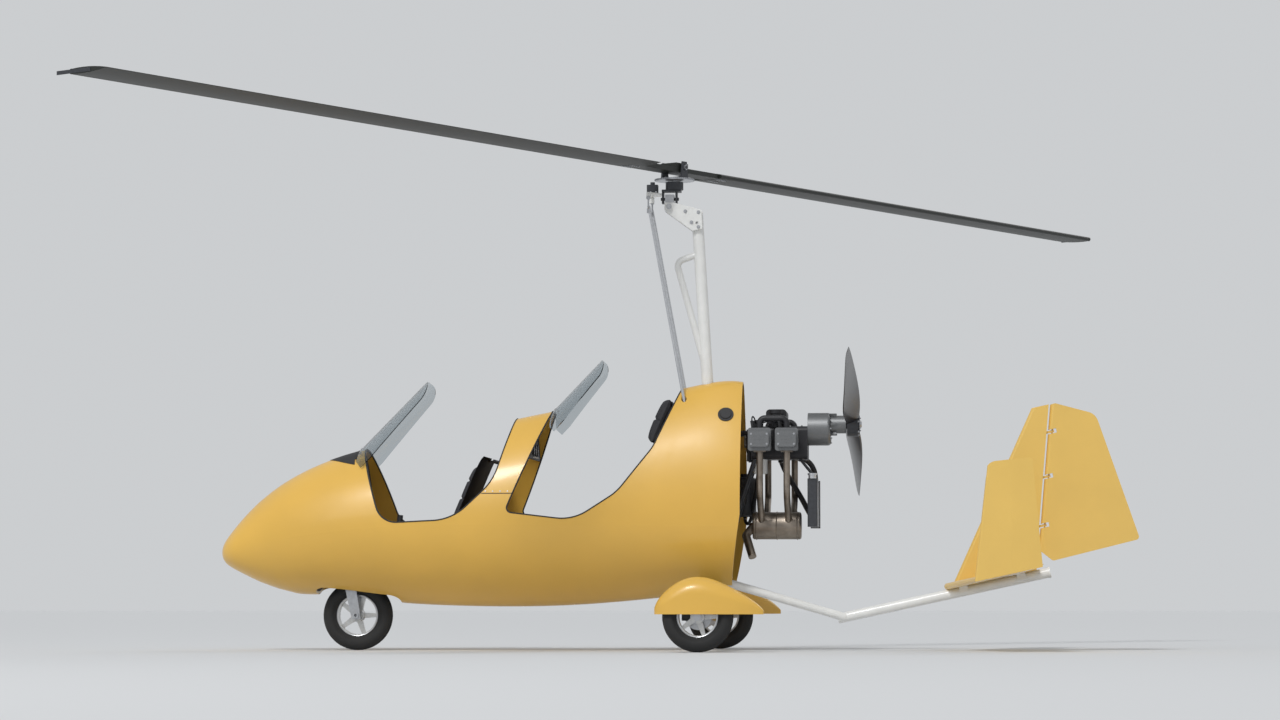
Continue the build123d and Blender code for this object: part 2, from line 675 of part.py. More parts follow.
def make_fin():
    """Fixed fin with the lugs that carry the rudder."""
    low = BOOM_R + STAB_THICK - 4
    reach = FIN_TOP_W - low
    root = (FIN_LEAD[0], hinge_point(low) - NOSE_GAP)
    top = (FIN_LEAD[1], hinge_point(FIN_TOP_W) - NOSE_GAP)
    fin = Pos(0, 0, low) * aerofoil_panel(root, top, reach, FIN_THICK, FIN_THICK, 0.5)
    for height in LUG_HEIGHTS:
        x = hinge_point(height)
        outline = [(x - 60, height - LUG_HALF), (x + 9, height - LUG_HALF)]
        outline = outline + [(x + 9, height + LUG_HALF), (x - 60, height + LUG_HALF)]
        fin = fin + side_plate(outline, -9, 9)
    fin = fin - hinge_rod(HINGE_PIN_R + RUNNING_FIT, LUG_HEIGHTS[0] - 60, LUG_HEIGHTS[-1] + 60)
    return TAIL * fin - make_stabiliser()


def make_rudder():
    """Rudder with a round nose on the hinge line, notched round the lugs, and its pins."""
    low, high = RUDDER_FOOT[1] - 20, FIN_TOP_W
    sections = []
    for w in (low, high):
        share = (w - RUDDER_LOW_TE[1]) / (RUDDER_HIGH_TE[1] - RUDDER_LOW_TE[1])
        trail = RUDDER_LOW_TE[0] + share * (RUDDER_HIGH_TE[0] - RUDDER_LOW_TE[0])
        front = hinge_point(w)
        wedge = [(front, RUDDER_NOSE_R), (trail + 2, RUDDER_EDGE), (trail + 2, -RUDDER_EDGE), (front, -RUDDER_NOSE_R)]
        sections.append(Pos(0, 0, w) * make_face(Polyline(*wedge, close=True)))
    blade = loft(sections, ruled=True) + hinge_rod(RUDDER_NOSE_R, low, high)
    outline = [
        (HINGE_LOW[0] - 2 * RUDDER_NOSE_R, HINGE_LOW[1] + RUDDER_NOSE_R),
        RUDDER_FOOT,
        RUDDER_LOW_TE,
        RUDDER_HIGH_TE,
        (HINGE_HIGH[0] + 4, FIN_TOP_W - 2),
        (hinge_point(FIN_TOP_W) - 2 * RUDDER_NOSE_R, FIN_TOP_W - 2),
    ]
    rudder = blade & side_plate(outline, -60, 60, [0, 20, 18, RUDDER_CORNER_R, 0, 0])
    for height in LUG_HEIGHTS:
        x = hinge_point(height)
        rudder = rudder - block(x - 60, x + 22, -40, 40, height - LUG_HALF - LUG_GAP, height + LUG_HALF + LUG_GAP)
    return TAIL * (rudder + hinge_rod(HINGE_PIN_R, LUG_HEIGHTS[0] - 30, LUG_HEIGHTS[-1] + 30))


def make_engine_case():
    """Crankcase with rounded sides, a front cover and a deep rib under it."""
    case = block(
        CASE_FRONT_X,
        CASE_REAR_X,
        -CASE_HALF_WIDTH,
        CASE_HALF_WIDTH,
        CRANK_Z - CASE_BELOW,
        CRANK_Z + CASE_ABOVE,
    )
    case = fillet(case.edges().filter_by(Axis.X), 26)
    cover = rod((CASE_FRONT_X - 26, 0, CRANK_Z), (CASE_FRONT_X + 4, 0, CRANK_Z), 62)
    return case + cover


def engine_cylinder():
    """One cylinder along +Y from the case: finned barrel, finned head and rocker cover."""
    start = CASE_HALF_WIDTH
    head = start + BARREL_LENGTH
    barrel = rod((0, start, 0), (0, head + 2, 0), BARREL_R)
    for index in range(FIN_COUNT):
        y = start + 8 + index * FIN_PITCH
        barrel = barrel + rod((0, y, 0), (0, y + FIN_DISC, 0), FIN_R)
    core = HEAD_CORE_HALF
    barrel = barrel + block(-core, core, head, head + HEAD_DEPTH, -core, core)
    step = (HEAD_DEPTH - FIN_DISC) / (HEAD_FINS - 1)
    for index in range(HEAD_FINS):
        y = head + index * step
        plate = block(-HEAD_HALF, HEAD_HALF, y, y + FIN_DISC, -HEAD_HALF, HEAD_HALF)
        barrel = barrel + fillet(plate.edges().filter_by(Axis.Y), 12)
    cover_y = head + HEAD_DEPTH
    cover = block(-core - 4, core + 4, cover_y, cover_y + ROCKER_REACH, -core + 6, core - 6)
    return barrel + fillet(cover.edges().filter_by(Axis.Y), 16)


def cylinder_x(index, side):
    """Crank position of one cylinder; the two banks are offset."""
    return CYLINDER_X[index] + side * CYLINDER_OFFSET


def make_cylinders():
    """Four cylinders in two offset banks."""
    one = engine_cylinder()
    pieces = []
    for index in range(len(CYLINDER_X)):
        for side in (-1, 1):
            turned_one = one if side > 0 else mirror(one, about=Plane.XZ)
            pieces.append(Pos(cylinder_x(index, side), 0, CRANK_Z) * turned_one)
    return joined(pieces)


def head_port_y():
    """Distance of the intake and exhaust ports from the crank."""
    return CASE_HALF_WIDTH + BARREL_LENGTH + HEAD_DEPTH / 2


def make_intake():
    """Airbox over the case with a carburettor and an intake log on each bank."""
    x0, x1, half, z0, z1 = AIRBOX
    box = block(x0, x1, -half, half, z0, z1)
    box = fillet(box.edges().filter_by(Axis.Y), 20)
    box = box + block((x0 + x1) / 2 - 22, (x0 + x1) / 2 + 22, -30, 30, CRANK_Z + CASE_ABOVE, z0 + 4)
    mid = (CYLINDER_X[0] + CYLINDER_X[1]) / 2
    port_y = head_port_y()
    pieces = [box]
    for side in (-1, 1):
        ends = [cylinder_x(index, side) for index in range(len(CYLINDER_X))]
        points = [
            (ends[0], side * port_y, CRANK_Z + HEAD_HALF - 2),
            (ends[0], side * port_y, MANIFOLD_Z),
            (ends[1], side * port_y, MANIFOLD_Z),
            (ends[1], side * port_y, CRANK_Z + HEAD_HALF - 2),
        ]
        pieces.append(bent_tube(points, 28, MANIFOLD_R))
        pieces.append(rod((mid, side * (half - 4), MANIFOLD_Z), (mid, side * port_y, MANIFOLD_Z), MANIFOLD_R + 3))
        bowl_y = side * CARB_Y
        pieces.append(rod((mid, bowl_y, MANIFOLD_Z - 44), (mid, bowl_y, MANIFOLD_Z + 30), CARB_R))
        pieces.append(rod((mid, bowl_y, MANIFOLD_Z + 28), (mid, bowl_y, MANIFOLD_Z + 44), CARB_R + 6))
    return joined(pieces) - make_cylinders()


def make_exhaust():
    """Four header pipes down to the muffler, and its tail pipe."""
    muffler = rod((MUFFLER_X[0], 0, MUFFLER_Z), (MUFFLER_X[1], 0, MUFFLER_Z), MUFFLER_R)
    muffler = fillet(muffler.edges().filter_by(GeomType.CIRCLE), 10)
    pieces = [muffler]
    port_y = head_port_y()
    for index in range(len(CYLINDER_X)):
        for side in (-1, 1):
            x = cylinder_x(index, side)
            points = [
                (x, side * port_y, CRANK_Z - HEAD_HALF + 2),
                (x, side * port_y, MUFFLER_Z + 150),
                (x, side * (MUFFLER_R - 20), MUFFLER_Z + 20),
            ]
            pieces.append(bent_tube(points, 70, HEADER_R))
    pieces.append(bent_tube(TAILPIPE, 26, HEADER_R + 4))
    return joined(pieces) - make_cylinders()


def make_cooling():
    """Radiator under the gearbox on two straps, and the oil tank beside the mast's struts."""
    x0, x1 = RADIATOR_X
    z0, z1 = RADIATOR_Z
    core = block(x0, x1, -RADIATOR_HALF + RADIATOR_TANK, RADIATOR_HALF - RADIATOR_TANK, z0, z1)
    pieces = [core]
    for side in (-1, 1):
        y0, y1 = sorted((side * (RADIATOR_HALF - RADIATOR_TANK), side * RADIATOR_HALF))
        tank = block(x0 - 6, x1 + 6, y0, y1, z0 - 4, z1 + 4)
        pieces.append(fillet(tank.edges().filter_by(Axis.Z), 8))
        strap_y = side * 58
        strap = [(x0 + 6, strap_y, z1 - 2), (x0 + 6, strap_y, z1 + 40), (CASE_REAR_X - 40, strap_y, CRANK_Z - CASE_BELOW + 2)]
        pieces.append(bent_tube(strap, 18, 7))
    radiator = joined(pieces) - make_engine_case()
    x, y, z = OIL_TANK
    tank = rod((x, y, z), (x, y, z + OIL_TANK_HEIGHT), OIL_TANK_R)
    tank = fillet(tank.edges().filter_by(GeomType.CIRCLE), 14)
    tank = tank + rod((x, y, z + OIL_TANK_HEIGHT - 2), (x, y, z + OIL_TANK_HEIGHT + 18), 22)
    arm = block(x - 14, x + 14, 66, y - OIL_TANK_R + 8, z + 70, z + 110)
    return radiator + (tank + arm - make_engine_mount())


def make_engine_mount():
    """Four struts from the mast and its foot to the front of the crankcase, tied by two bars."""
    foot_x, _, foot_z = MAST_BASE
    low_z, high_z = CRANK_Z - CASE_BELOW, CRANK_Z + 40
    pieces = []
    for side in (-1, 1):
        pieces.append(rod((foot_x, side * 96, foot_z), (CASE_FRONT_X + 20, side * 70, low_z), STRUT_R))
        pieces.append(rod((foot_x - 34, side * 20, high_z), (CASE_FRONT_X + 2, side * 66, high_z), STRUT_R))
        pieces.append(rod((CASE_FRONT_X - 12, side * 72, low_z - 10), (CASE_FRONT_X - 12, side * 66, high_z), STRUT_R - 2))
    mount = joined(pieces)
    return mount - rod(MAST_BASE, MAST_TOP, MAST_R) - make_engine_case() - make_keel()[1]


def make_gearbox():
    """Reduction gearbox: bell on the case and a nose housing round the propeller shaft."""
    bell_z = PROP_Z - GEARBOX_DROP
    bell_end = CASE_REAR_X + GEARBOX_LENGTH
    shaft_end = PROP_X - PROP_HUB_THICK / 2 - 6
    bell = rod((CASE_REAR_X, 0, bell_z), (bell_end, 0, bell_z), GEARBOX_R)
    bell = fillet(bell.edges().filter_by(GeomType.CIRCLE).sort_by(Axis.X)[-1], 16)
    gearbox = bell + rod((bell_end - 4, 0, PROP_Z), (shaft_end, 0, PROP_Z), NOSE_CASE_R)
    for turn in range(6):
        rib = block(bell_end - 30, bell_end + 30, -4, 4, NOSE_CASE_R - 6, NOSE_CASE_R + 16)
        gearbox = gearbox + Pos(0, 0, PROP_Z) * Rot(30 + turn * 60, 0, 0) * rib
    shaft = rod((CASE_REAR_X + 40, 0, PROP_Z), (PROP_X, 0, PROP_Z), PROP_SHAFT_R + RUNNING_FIT)
    return gearbox - shaft - make_engine_case() - make_cylinders()


def lens(chord, thick):
    """Blade section of two arcs with blunt edges."""
    edge = thick * 0.15
    half = chord / 2
    return make_face(
        [
            ThreePointArc((-half, edge), (-half * 0.1, thick * 0.62), (half, edge)),
            Line((half, edge), (half, -edge)),
            ThreePointArc((half, -edge), (0, -thick * 0.38), (-half, -edge)),
            Line((-half, -edge), (-half, edge)),
        ]
    )


def make_propeller():
    """Hub with its shaft, and two twisted blades."""
    front = PROP_X - PROP_HUB_THICK / 2
    rear = front + PROP_HUB_THICK
    hub = rod((front, 0, PROP_Z), (rear, 0, PROP_Z), PROP_HUB_R)
    hub = hub + rod((rear, 0, PROP_Z), (rear + 8, 0, PROP_Z), PROP_HUB_R - 16)
    hub = hub + rod((CASE_REAR_X + 60, 0, PROP_Z), (front + 4, 0, PROP_Z), PROP_SHAFT_R)
    sections = []
    for radius, chord, thick, pitch in PROP_BLADE:
        plane = Plane(origin=(0, 0, radius), x_dir=(sin(radians(pitch)), cos(radians(pitch)), 0), z_dir=(0, 0, 1))
        sections.append(plane * lens(chord, thick))
    blade = loft(sections)
    bore = rod((front - 10, 0, PROP_Z), (rear + 10, 0, PROP_Z), PROP_HUB_R)
    pair = [Pos(PROP_X, 0, PROP_Z) * Rot(PROP_AZIMUTH + turn, 0, 0) * blade - bore for turn in (0, 180)]
    return hub, joined(pair)


def make_mast():
    """Mast tube with its cheek plates, and the hooked brace in front of it."""
    mast = rod(MAST_BASE, MAST_TOP, MAST_R) - make_keel()[1]
    cheek = [
        (MAST_TOP[0] + 30, MAST_TOP[2] - 86),
        (MAST_TOP[0] + 24, MAST_TOP[2] + 14),
        (PIVOT_X + 22, PITCH_Z + 22),
        (PIVOT_X - 24, PITCH_Z + 22),
        (PIVOT_X - 24, PITCH_Z - 20),
        (MAST_TOP[0] - 22, MAST_TOP[2] - 96),
    ]
    for side in (-1, 1):
        y0, y1 = sorted((side * CHEEK_Y, side * (CHEEK_Y + CHEEK_THICK)))
        mast = mast + side_plate(cheek, y0, y1, 8)
    reach = CHEEK_Y + CHEEK_THICK
    spacer = block(MAST_TOP[0] - 20, MAST_TOP[0] + 22, -CHEEK_Y, CHEEK_Y, MAST_TOP[2] - 84, MAST_TOP[2] - 10)
    bolt = rod((PIVOT_X, -reach - 14, PITCH_Z), (PIVOT_X, reach + 14, PITCH_Z), PIVOT_BOLT_R)
    lift_x, lift_z = LIFT_PIN
    mast = mast + spacer + bolt - rod((lift_x, -reach - 5, lift_z), (lift_x, reach + 5, lift_z), LIFT_PIN_R)
    return mast, bent_tube(BRACE, BRACE_BEND_R, BRACE_R) - rod(MAST_BASE, MAST_TOP, MAST_R)


def make_head():
    """Gimbal block, and the bearing block that rolls on it."""
    half = GIMBAL_HALF
    gimbal = block(PIVOT_X - half, PIVOT_X + half, -30, 30, PITCH_Z - 22, ROLL_Z + 22)
    gimbal = gimbal - rod((PIVOT_X, -60, PITCH_Z), (PIVOT_X, 60, PITCH_Z), PIVOT_BOLT_R + RUNNING_FIT)
    gimbal = gimbal - rod((PIVOT_X - 60, 0, ROLL_Z), (PIVOT_X + 60, 0, ROLL_Z), PIVOT_BOLT_R + RUNNING_FIT)
    head = block(PIVOT_X - half - 17, PIVOT_X + half + 36, -30, 30, BEARING_Z[0] - 12, BEARING_Z[0])
    for side in (-1, 1):
        x0, x1 = sorted((PIVOT_X + side * (half + 7), PIVOT_X + side * (half + 17)))
        head = head + block(x0, x1, -22, 22, ROLL_Z - 24, BEARING_Z[0])
    head = head + rod((0, 0, BEARING_Z[0]), (0, 0, BEARING_Z[1]), BEARING_R)
    head = head + rod((PIVOT_X - half - 24, 0, ROLL_Z), (PIVOT_X + half + 24, 0, ROLL_Z), PIVOT_BOLT_R)
    head = head - rod((0, 0, BEARING_Z[0] + 6), (0, 0, BEARING_Z[1] + 9), SPINDLE_R + RUNNING_FIT)
    return gimbal, head


def make_control_plate():
    """Plate in front of the head that the push rods drive."""
    outline = [(PLATE_FRONT_X, -104), (PLATE_FRONT_X, 104), (PLATE_REAR_X, 30), (PLATE_REAR_X, -30)]
    plate = plan_plate(outline, PLATE_Z, PLATE_Z + PLATE_THICK)
    for side in (-1, 1):
        y = side * PUSH_ROD_TOP_Y
        plate = plate + block(PLATE_FRONT_X - 4, PLATE_FRONT_X + 20, y - 6, y + 6, ROLL_Z - 8, PLATE_Z)
    return plate


def make_starter():
    """Drive motor that turns the rotor up to speed before a flight, its pinion under the ring gear."""
    z0 = PLATE_Z + PLATE_THICK
    half = STARTER_HALF
    box = block(STARTER_X - half, STARTER_X + half, -half, half, z0, z0 + STARTER_HEIGHT)
    box = fillet(box.edges().filter_by(Axis.Z), 10)
    return box + rod((STARTER_X, 0, z0 + STARTER_HEIGHT), (STARTER_X, 0, RING_GEAR_Z[0] - 6), PINION_R)


def push_rod_ends():
    """Lower and upper end of each push rod."""
    x, y, z = PUSH_ROD_FOOT
    top_x = PLATE_FRONT_X + 8
    return [((x, side * y, z), (top_x, side * PUSH_ROD_TOP_Y, ROLL_Z - 44)) for side in (-1, 1)]


def make_rods():
    """Push rods from the pod to the rotor head, open below the control plate."""
    return joined([rod(low, high, PUSH_ROD_R) for low, high in push_rod_ends()])


def turned(shape):
    """Shape turned from the blades' own frame to their resting azimuth."""
    return Rot(0, 0, ROTOR_AZIMUTH) * shape


def make_rotor_mast():
    """Spindle with its toothed ring gear, and the two tower plates of the teeter hinge."""
    spindle = rod((0, 0, BEARING_Z[0] + 8), (0, 0, RING_GEAR_Z[1]), SPINDLE_R)
    gear = rod((0, 0, RING_GEAR_Z[0]), (0, 0, RING_GEAR_Z[1]), RING_GEAR_R - TOOTH_HEIGHT)
    tooth = block(RING_GEAR_R - 2 * TOOTH_HEIGHT, RING_GEAR_R, -2.5, 2.5, *RING_GEAR_Z)
    teeth = [Rot(0, 0, index * 360 / RING_GEAR_TEETH) * tooth for index in range(RING_GEAR_TEETH)]
    gear = gear + teeth
    reach = TOWER_HALF_GAP + TOWER_THICK
    tower = block(-30, 30, -reach, reach, RING_GEAR_Z[1], RING_GEAR_Z[1] + 10)
    for side in (-1, 1):
        y0, y1 = sorted((side * TOWER_HALF_GAP, side * reach))
        outline = [(-30, RING_GEAR_Z[1]), (30, RING_GEAR_Z[1]), (18, TOWER_TOP_Z), (-18, TOWER_TOP_Z)]
        tower = tower + side_plate(outline, y0, y1)
    bolt = rod((0, -reach - 12, TEETER_Z), (0, reach + 12, TEETER_Z), TEETER_BOLT_R)
    return turned(spindle + gear), turned(tower + bolt)


def blade_section():
    """Rotor blade section about its quarter chord."""
    lead, trail, deep = -BLADE_CHORD * 0.3, BLADE_CHORD * 0.7, BLADE_THICK / 2
    return make_face(
        [
            ThreePointArc((lead + 16, -deep * 0.82), (lead, 0), (lead + 16, deep * 0.82)),
            ThreePointArc((lead + 16, deep * 0.82), (lead + 70, deep), (trail, 1.2)),
            Line((trail, 1.2), (trail, -1.2)),
            ThreePointArc((trail, -1.2), (lead + 70, -deep), (lead + 16, -deep * 0.82)),
        ]
    )


def make_rotor():
    """Hub bar on its teeter bolt, and two blades clamped to its ends."""
    mid = TEETER_Z - BLADE_DROP
    half = HUB_BAR_THICK / 2
    width = HUB_BAR_WIDTH / 2
    bar = block(-HUB_BAR_R, HUB_BAR_R, -width, width, mid - half, mid + half)
    cheek = block(-52, 52, -width, width, mid - half, TEETER_Z + 22)
    bar = bar + cheek - rod((0, -90, TEETER_Z), (0, 90, TEETER_Z), TEETER_BOLT_R + RUNNING_FIT)
    plane = Plane(origin=(BLADE_ROOT_R, 0, mid), x_dir=(0, 1, 0), z_dir=(1, 0, 0))
    blade = extrude(plane * blade_section(), amount=ROTOR_DIAMETER / 2 - BLADE_ROOT_R)
    blades = joined([Rot(0, 0, turn) * blade for turn in (0, 180)])
    return turned(bar), turned(blades - bar)


def make_screen(screen, form):
    """Bowed windscreen raked back from the deck, its top corners rounded."""
    foot_x, foot_z, top_x, top_z, foot_width, top_width, corner_r = screen
    rake = hypot(top_x - foot_x, top_z - foot_z)
    half, bow = foot_width / 2, SCREEN_BOW
    inner = half - SCREEN_THICK
    face = make_face(
        [
            ThreePointArc((-half, -bow), (0, 0), (half, -bow)),
            Line((half, -bow), (inner, -bow)),
            ThreePointArc((inner, -bow), (0, -SCREEN_THICK), (-inner, -bow)),
            Line((-inner, -bow), (-half, -bow)),
        ]
    )
    curved = extrude(face, amount=rake)
    edge = [(-half - 1, -1), (-top_width / 2, rake), (top_width / 2, rake), (half + 1, -1)]
    trim = outline_face([(x, 50, z) for x, z in edge], [0, corner_r, corner_r, 0])
    curved = curved & extrude(trim, amount=300, dir=(0, -1, 0))
    place = Plane(origin=(foot_x, 0, foot_z), x_dir=(0, 1, 0), z_dir=(top_x - foot_x, 0, top_z - foot_z))
    return place * curved - form


def make_seat(back_x, recline, back_height, pan, width):
    """Moulded seat: pan, reclined back and a raised front lip."""
    floor_z = FLOOR_Z + FLOOR_THICK
    lean = back_height * tan(radians(recline))
    outline = [
        (back_x - pan, floor_z),
        (back_x - pan, floor_z + SEAT_PAN_DEPTH + 40),
        (back_x - 60, floor_z + SEAT_PAN_DEPTH),
        (back_x - 60 + lean, floor_z + SEAT_PAN_DEPTH + back_height),
        (back_x + lean, floor_z + SEAT_PAN_DEPTH + back_height),
        (back_x + 10, floor_z),
    ]
    return side_plate(outline, -width / 2, width / 2, 14)


def make_panels(space):
    """Instrument panel under the front deck and one under the hood, with the dials' bezels."""
    pieces = []
    for x, low in (FRONT_PANEL, REAR_PANEL):
        panel = block(x, x + PANEL_THICK, -400, 400, low, 1400) & space
        for row, count in ((0, 3), (1, 2)):
            z = low + 48 + row * DIAL_SPACING * 0.92
            for index in range(count):
                y = (index - (count - 1) / 2) * DIAL_SPACING
                panel = panel + rod((x + PANEL_THICK, y, z), (x + PANEL_THICK + 7, y, z), DIAL_R)
        pieces.append(panel)
    return joined(pieces)


def make_controls():
    """Control stick with its boot at each seat, and the rudder pedals over the wheel well."""
    pieces = []
    for x, foot, top in STICKS:
        boot = Pos(x, 0, foot + 22) * Cone(40, 14, 44)
        stick = rod((x, 0, foot + 30), (x + 20, 0, top - GRIP_LENGTH), STICK_R)
        grip = rod((x + 20, 0, top - GRIP_LENGTH - 4), (x + 30, 0, top), GRIP_R)
        pieces.append(boot + stick + grip)
    for side in (-1, 1):
        y = side * PEDAL_Y
        post = block(PEDAL_X - 8, PEDAL_X + 8, y - 8, y + 8, WELL_TOP_Z, WELL_TOP_Z + 60)
        pad = block(PEDAL_X - 6, PEDAL_X + 6, y - 42, y + 42, WELL_TOP_Z + 56, WELL_TOP_Z + 150)
        pieces.append(post + fillet(pad.edges().filter_by(Axis.X), 12))
    return joined(pieces)


def export(name, shape):
    """Write one sub-part to its file."""
    export_step(shape, f"parts/{name}.step")


def export_pod():
    """Pod, its inner pieces and what stands on it."""
    form, space = pod_form(), pod_space()
    pod, hood = make_pod(form, space)
    export("pod_shell", pod)
    export("cockpit_hood", hood)
    export("wheel_well", make_wheel_well(space))
    export("cockpit_floor", make_floor(space))
    export("firewall", make_firewall(space))
    export("headrest", make_headrest())
    export("instrument_panels", make_panels(space))
    export("cockpit_controls", make_controls())
    export("front_seat", make_seat(*FRONT_SEAT))
    export("rear_seat", make_seat(*REAR_SEAT))
    export("front_windscreen", make_screen(FRONT_SCREEN, form))
    export("rear_windscreen", make_screen(REAR_SCREEN, form))
    export("leg_saddle", make_saddle(form))


def export_gear():
    """Wheels, fork, legs, axles and spats."""
    bearing, fork = make_steering()
    export("steering_bearing", bearing)
    export("nose_fork", fork)
    nose_place = Pos(NOSE_AXLE_X, 0, NOSE_TYRE_R)
    export("nose_tyre", nose_place * wheel_tyre(NOSE_TYRE_R, NOSE_TYRE_WIDTH, NOSE_RIM_R))
    export("nose_rim", nose_place * wheel_rim(NOSE_RIM_R, NOSE_TYRE_WIDTH, NOSE_AXLE_R + RUNNING_FIT))
    export("gear_legs", make_legs())
    for side, word in ((-1, "port"), (1, "starboard")):
        place = Pos(MAIN_AXLE_X, side * MAIN_TRACK / 2, MAIN_TYRE_R)
        export(f"axle_{word}", make_axle(side))
        export(f"spat_{word}", make_spat(side))
        export(f"tyre_{word}", place * wheel_tyre(MAIN_TYRE_R, MAIN_TYRE_WIDTH, MAIN_RIM_R))
        export(f"rim_{word}", place * wheel_rim(MAIN_RIM_R, MAIN_TYRE_WIDTH, AXLE_R + RUNNING_FIT))


def export_tail():
    """Keel, tailplane, fins and rudder."""
    boom, forks = make_keel()
    export("tail_boom", boom)
    export("keel_fork", forks)
    export("stabiliser", make_stabiliser())
    for side, word in ((-1, "port"), (1, "starboard")):
        export(f"tip_fin_{word}", make_tip_fin(side))
    export("fin", make_fin())
    export("rudder", make_rudder())


def export_engine():
    """Engine, its mount and the propeller."""
    export("engine_mount", make_engine_mount())
    export("engine_case", make_engine_case())
    export("engine_cylinders", make_cylinders())
    export("engine_intake", make_intake())
    export("engine_exhaust", make_exhaust())
    export("engine_cooling", make_cooling())
    export("gearbox", make_gearbox())
    hub, blades = make_propeller()
    export("propeller_hub", hub)
    export("propeller_blades", blades)


def export_rotor():
    """Mast, rotor head and rotor."""
    mast, brace = make_mast()
    export("mast", mast)
    export("mast_brace", brace)
    export("push_rods", make_rods())
    gimbal, head = make_head()
    export("gimbal", gimbal)
    export("head_block", head)
    export("control_plate", make_control_plate())
    export("starter_motor", make_starter())
    spindle, tower = make_rotor_mast()
    export("spindle", spindle)
    export("teeter_tower", tower)
    bar, rotor = make_rotor()
    export("hub_bar", bar)
    export("rotor_blades", rotor)


def main():
    """Build every sub-part and write it out."""
    os.makedirs("parts", exist_ok=True)
    export_pod()
    export_gear()
    export_tail()
    export_engine()
    export_rotor()


main()
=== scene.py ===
import json
import math

import bmesh
import bpy
from mathutils import Matrix, Vector
from mathutils.bvhtree import BVHTree


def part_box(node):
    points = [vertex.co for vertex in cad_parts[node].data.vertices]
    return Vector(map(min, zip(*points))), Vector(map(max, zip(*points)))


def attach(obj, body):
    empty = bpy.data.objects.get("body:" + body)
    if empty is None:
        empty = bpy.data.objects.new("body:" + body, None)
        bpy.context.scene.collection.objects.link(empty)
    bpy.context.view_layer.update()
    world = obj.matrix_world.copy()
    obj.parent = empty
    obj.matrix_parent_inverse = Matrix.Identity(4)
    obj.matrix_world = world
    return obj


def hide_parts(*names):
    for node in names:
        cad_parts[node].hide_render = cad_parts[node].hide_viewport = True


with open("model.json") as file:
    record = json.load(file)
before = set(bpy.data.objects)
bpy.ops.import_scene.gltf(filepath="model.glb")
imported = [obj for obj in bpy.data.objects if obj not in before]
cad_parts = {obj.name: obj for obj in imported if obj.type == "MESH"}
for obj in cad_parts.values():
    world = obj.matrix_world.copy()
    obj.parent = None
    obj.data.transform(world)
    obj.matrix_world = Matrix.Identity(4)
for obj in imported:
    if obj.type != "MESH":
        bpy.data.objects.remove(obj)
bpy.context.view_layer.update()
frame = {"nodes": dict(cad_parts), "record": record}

# Looks of a tandem open-cockpit gyrocopter, in metres, in the frame of its solids:
# X 0 at the rotor axis, +X aft, +Y to starboard, +Z up, ground at Z 0.

# Camera: at floor level, at the photograph's azimuth
CAMERA_AZIMUTH = 4.8
CAMERA_DISTANCE = 18.0
CAMERA_HEIGHT = 0.22
CAMERA_AIM = (-0.18, 0.0, 1.50)
CAMERA_LENS = 98.0

FLOOR_COLOUR = (0.66, 0.67, 0.68)
BACKGROUND_COLOUR = (0.60, 0.615, 0.63)
WORLD_COLOUR = (0.93, 0.95, 0.97)
WORLD_STRENGTH = 0.55

# Lamps: kind, place, angle in degrees or size in metres, power
LAMPS = [
    ("sun", "SUN", (-3, -8, 10), 12.0, 1.35),
    ("far_sun", "SUN", (5, 8, 7), 30.0, 0.30),
    ("softbox", "AREA", (-6, -12, 8), 6.5, 220),
]

# Slot: base colour, metallic, roughness, coat, grain per metre, colour variation, bump in millimetres
FINISHES = {
    "yellow_shell": ((0.76, 0.45, 0.075), 0.0, 0.36, 0.35, 2.2, 0.05, 0.0),
    "tail_yellow": ((0.80, 0.52, 0.12), 0.0, 0.34, 0.5, 2.2, 0.05, 0.0),
    "white_paint": ((0.80, 0.80, 0.78), 0.0, 0.35, 0.4, 14.0, 0.04, 0.0),
    "leg_paint": ((0.060, 0.066, 0.050), 0.0, 0.48, 0.0, 12.0, 0.12, 0.02),
    "dark_moulding": ((0.022, 0.022, 0.024), 0.0, 0.62, 0.0, 700.0, 0.10, 0.15),
    "seat": ((0.035, 0.035, 0.040), 0.0, 0.70, 0.0, 420.0, 0.25, 0.35),
    "steel": ((0.52, 0.53, 0.55), 1.0, 0.32, 0.0, 60.0, 0.08, 0.0),
    "dark_metal": ((0.045, 0.048, 0.055), 0.2, 0.42, 0.0, 60.0, 0.15, 0.02),
    "rod_alloy": ((0.66, 0.67, 0.69), 1.0, 0.30, 0.0, 60.0, 0.06, 0.0),
    "exhaust_steel": ((0.28, 0.24, 0.20), 0.9, 0.40, 0.0, 16.0, 0.30, 0.0),
    "engine_black": ((0.020, 0.020, 0.023), 0.1, 0.45, 0.0, 300.0, 0.15, 0.06),
    "engine_alloy": ((0.21, 0.215, 0.22), 0.85, 0.44, 0.0, 260.0, 0.12, 0.06),
    "blade_black": ((0.014, 0.016, 0.013), 0.0, 0.48, 0.0, 9.0, 0.12, 0.0),
    "prop_black": ((0.018, 0.018, 0.022), 0.0, 0.30, 0.3, 9.0, 0.10, 0.0),
    "rim_alloy": ((0.62, 0.62, 0.61), 0.9, 0.36, 0.0, 90.0, 0.08, 0.02),
    "tyre": ((0.020, 0.020, 0.020), 0.0, 0.78, 0.0, 500.0, 0.20, 0.12),
}
COAT_ROUGHNESS = 0.15
SCREEN_TINT = (0.62, 0.66, 0.68)

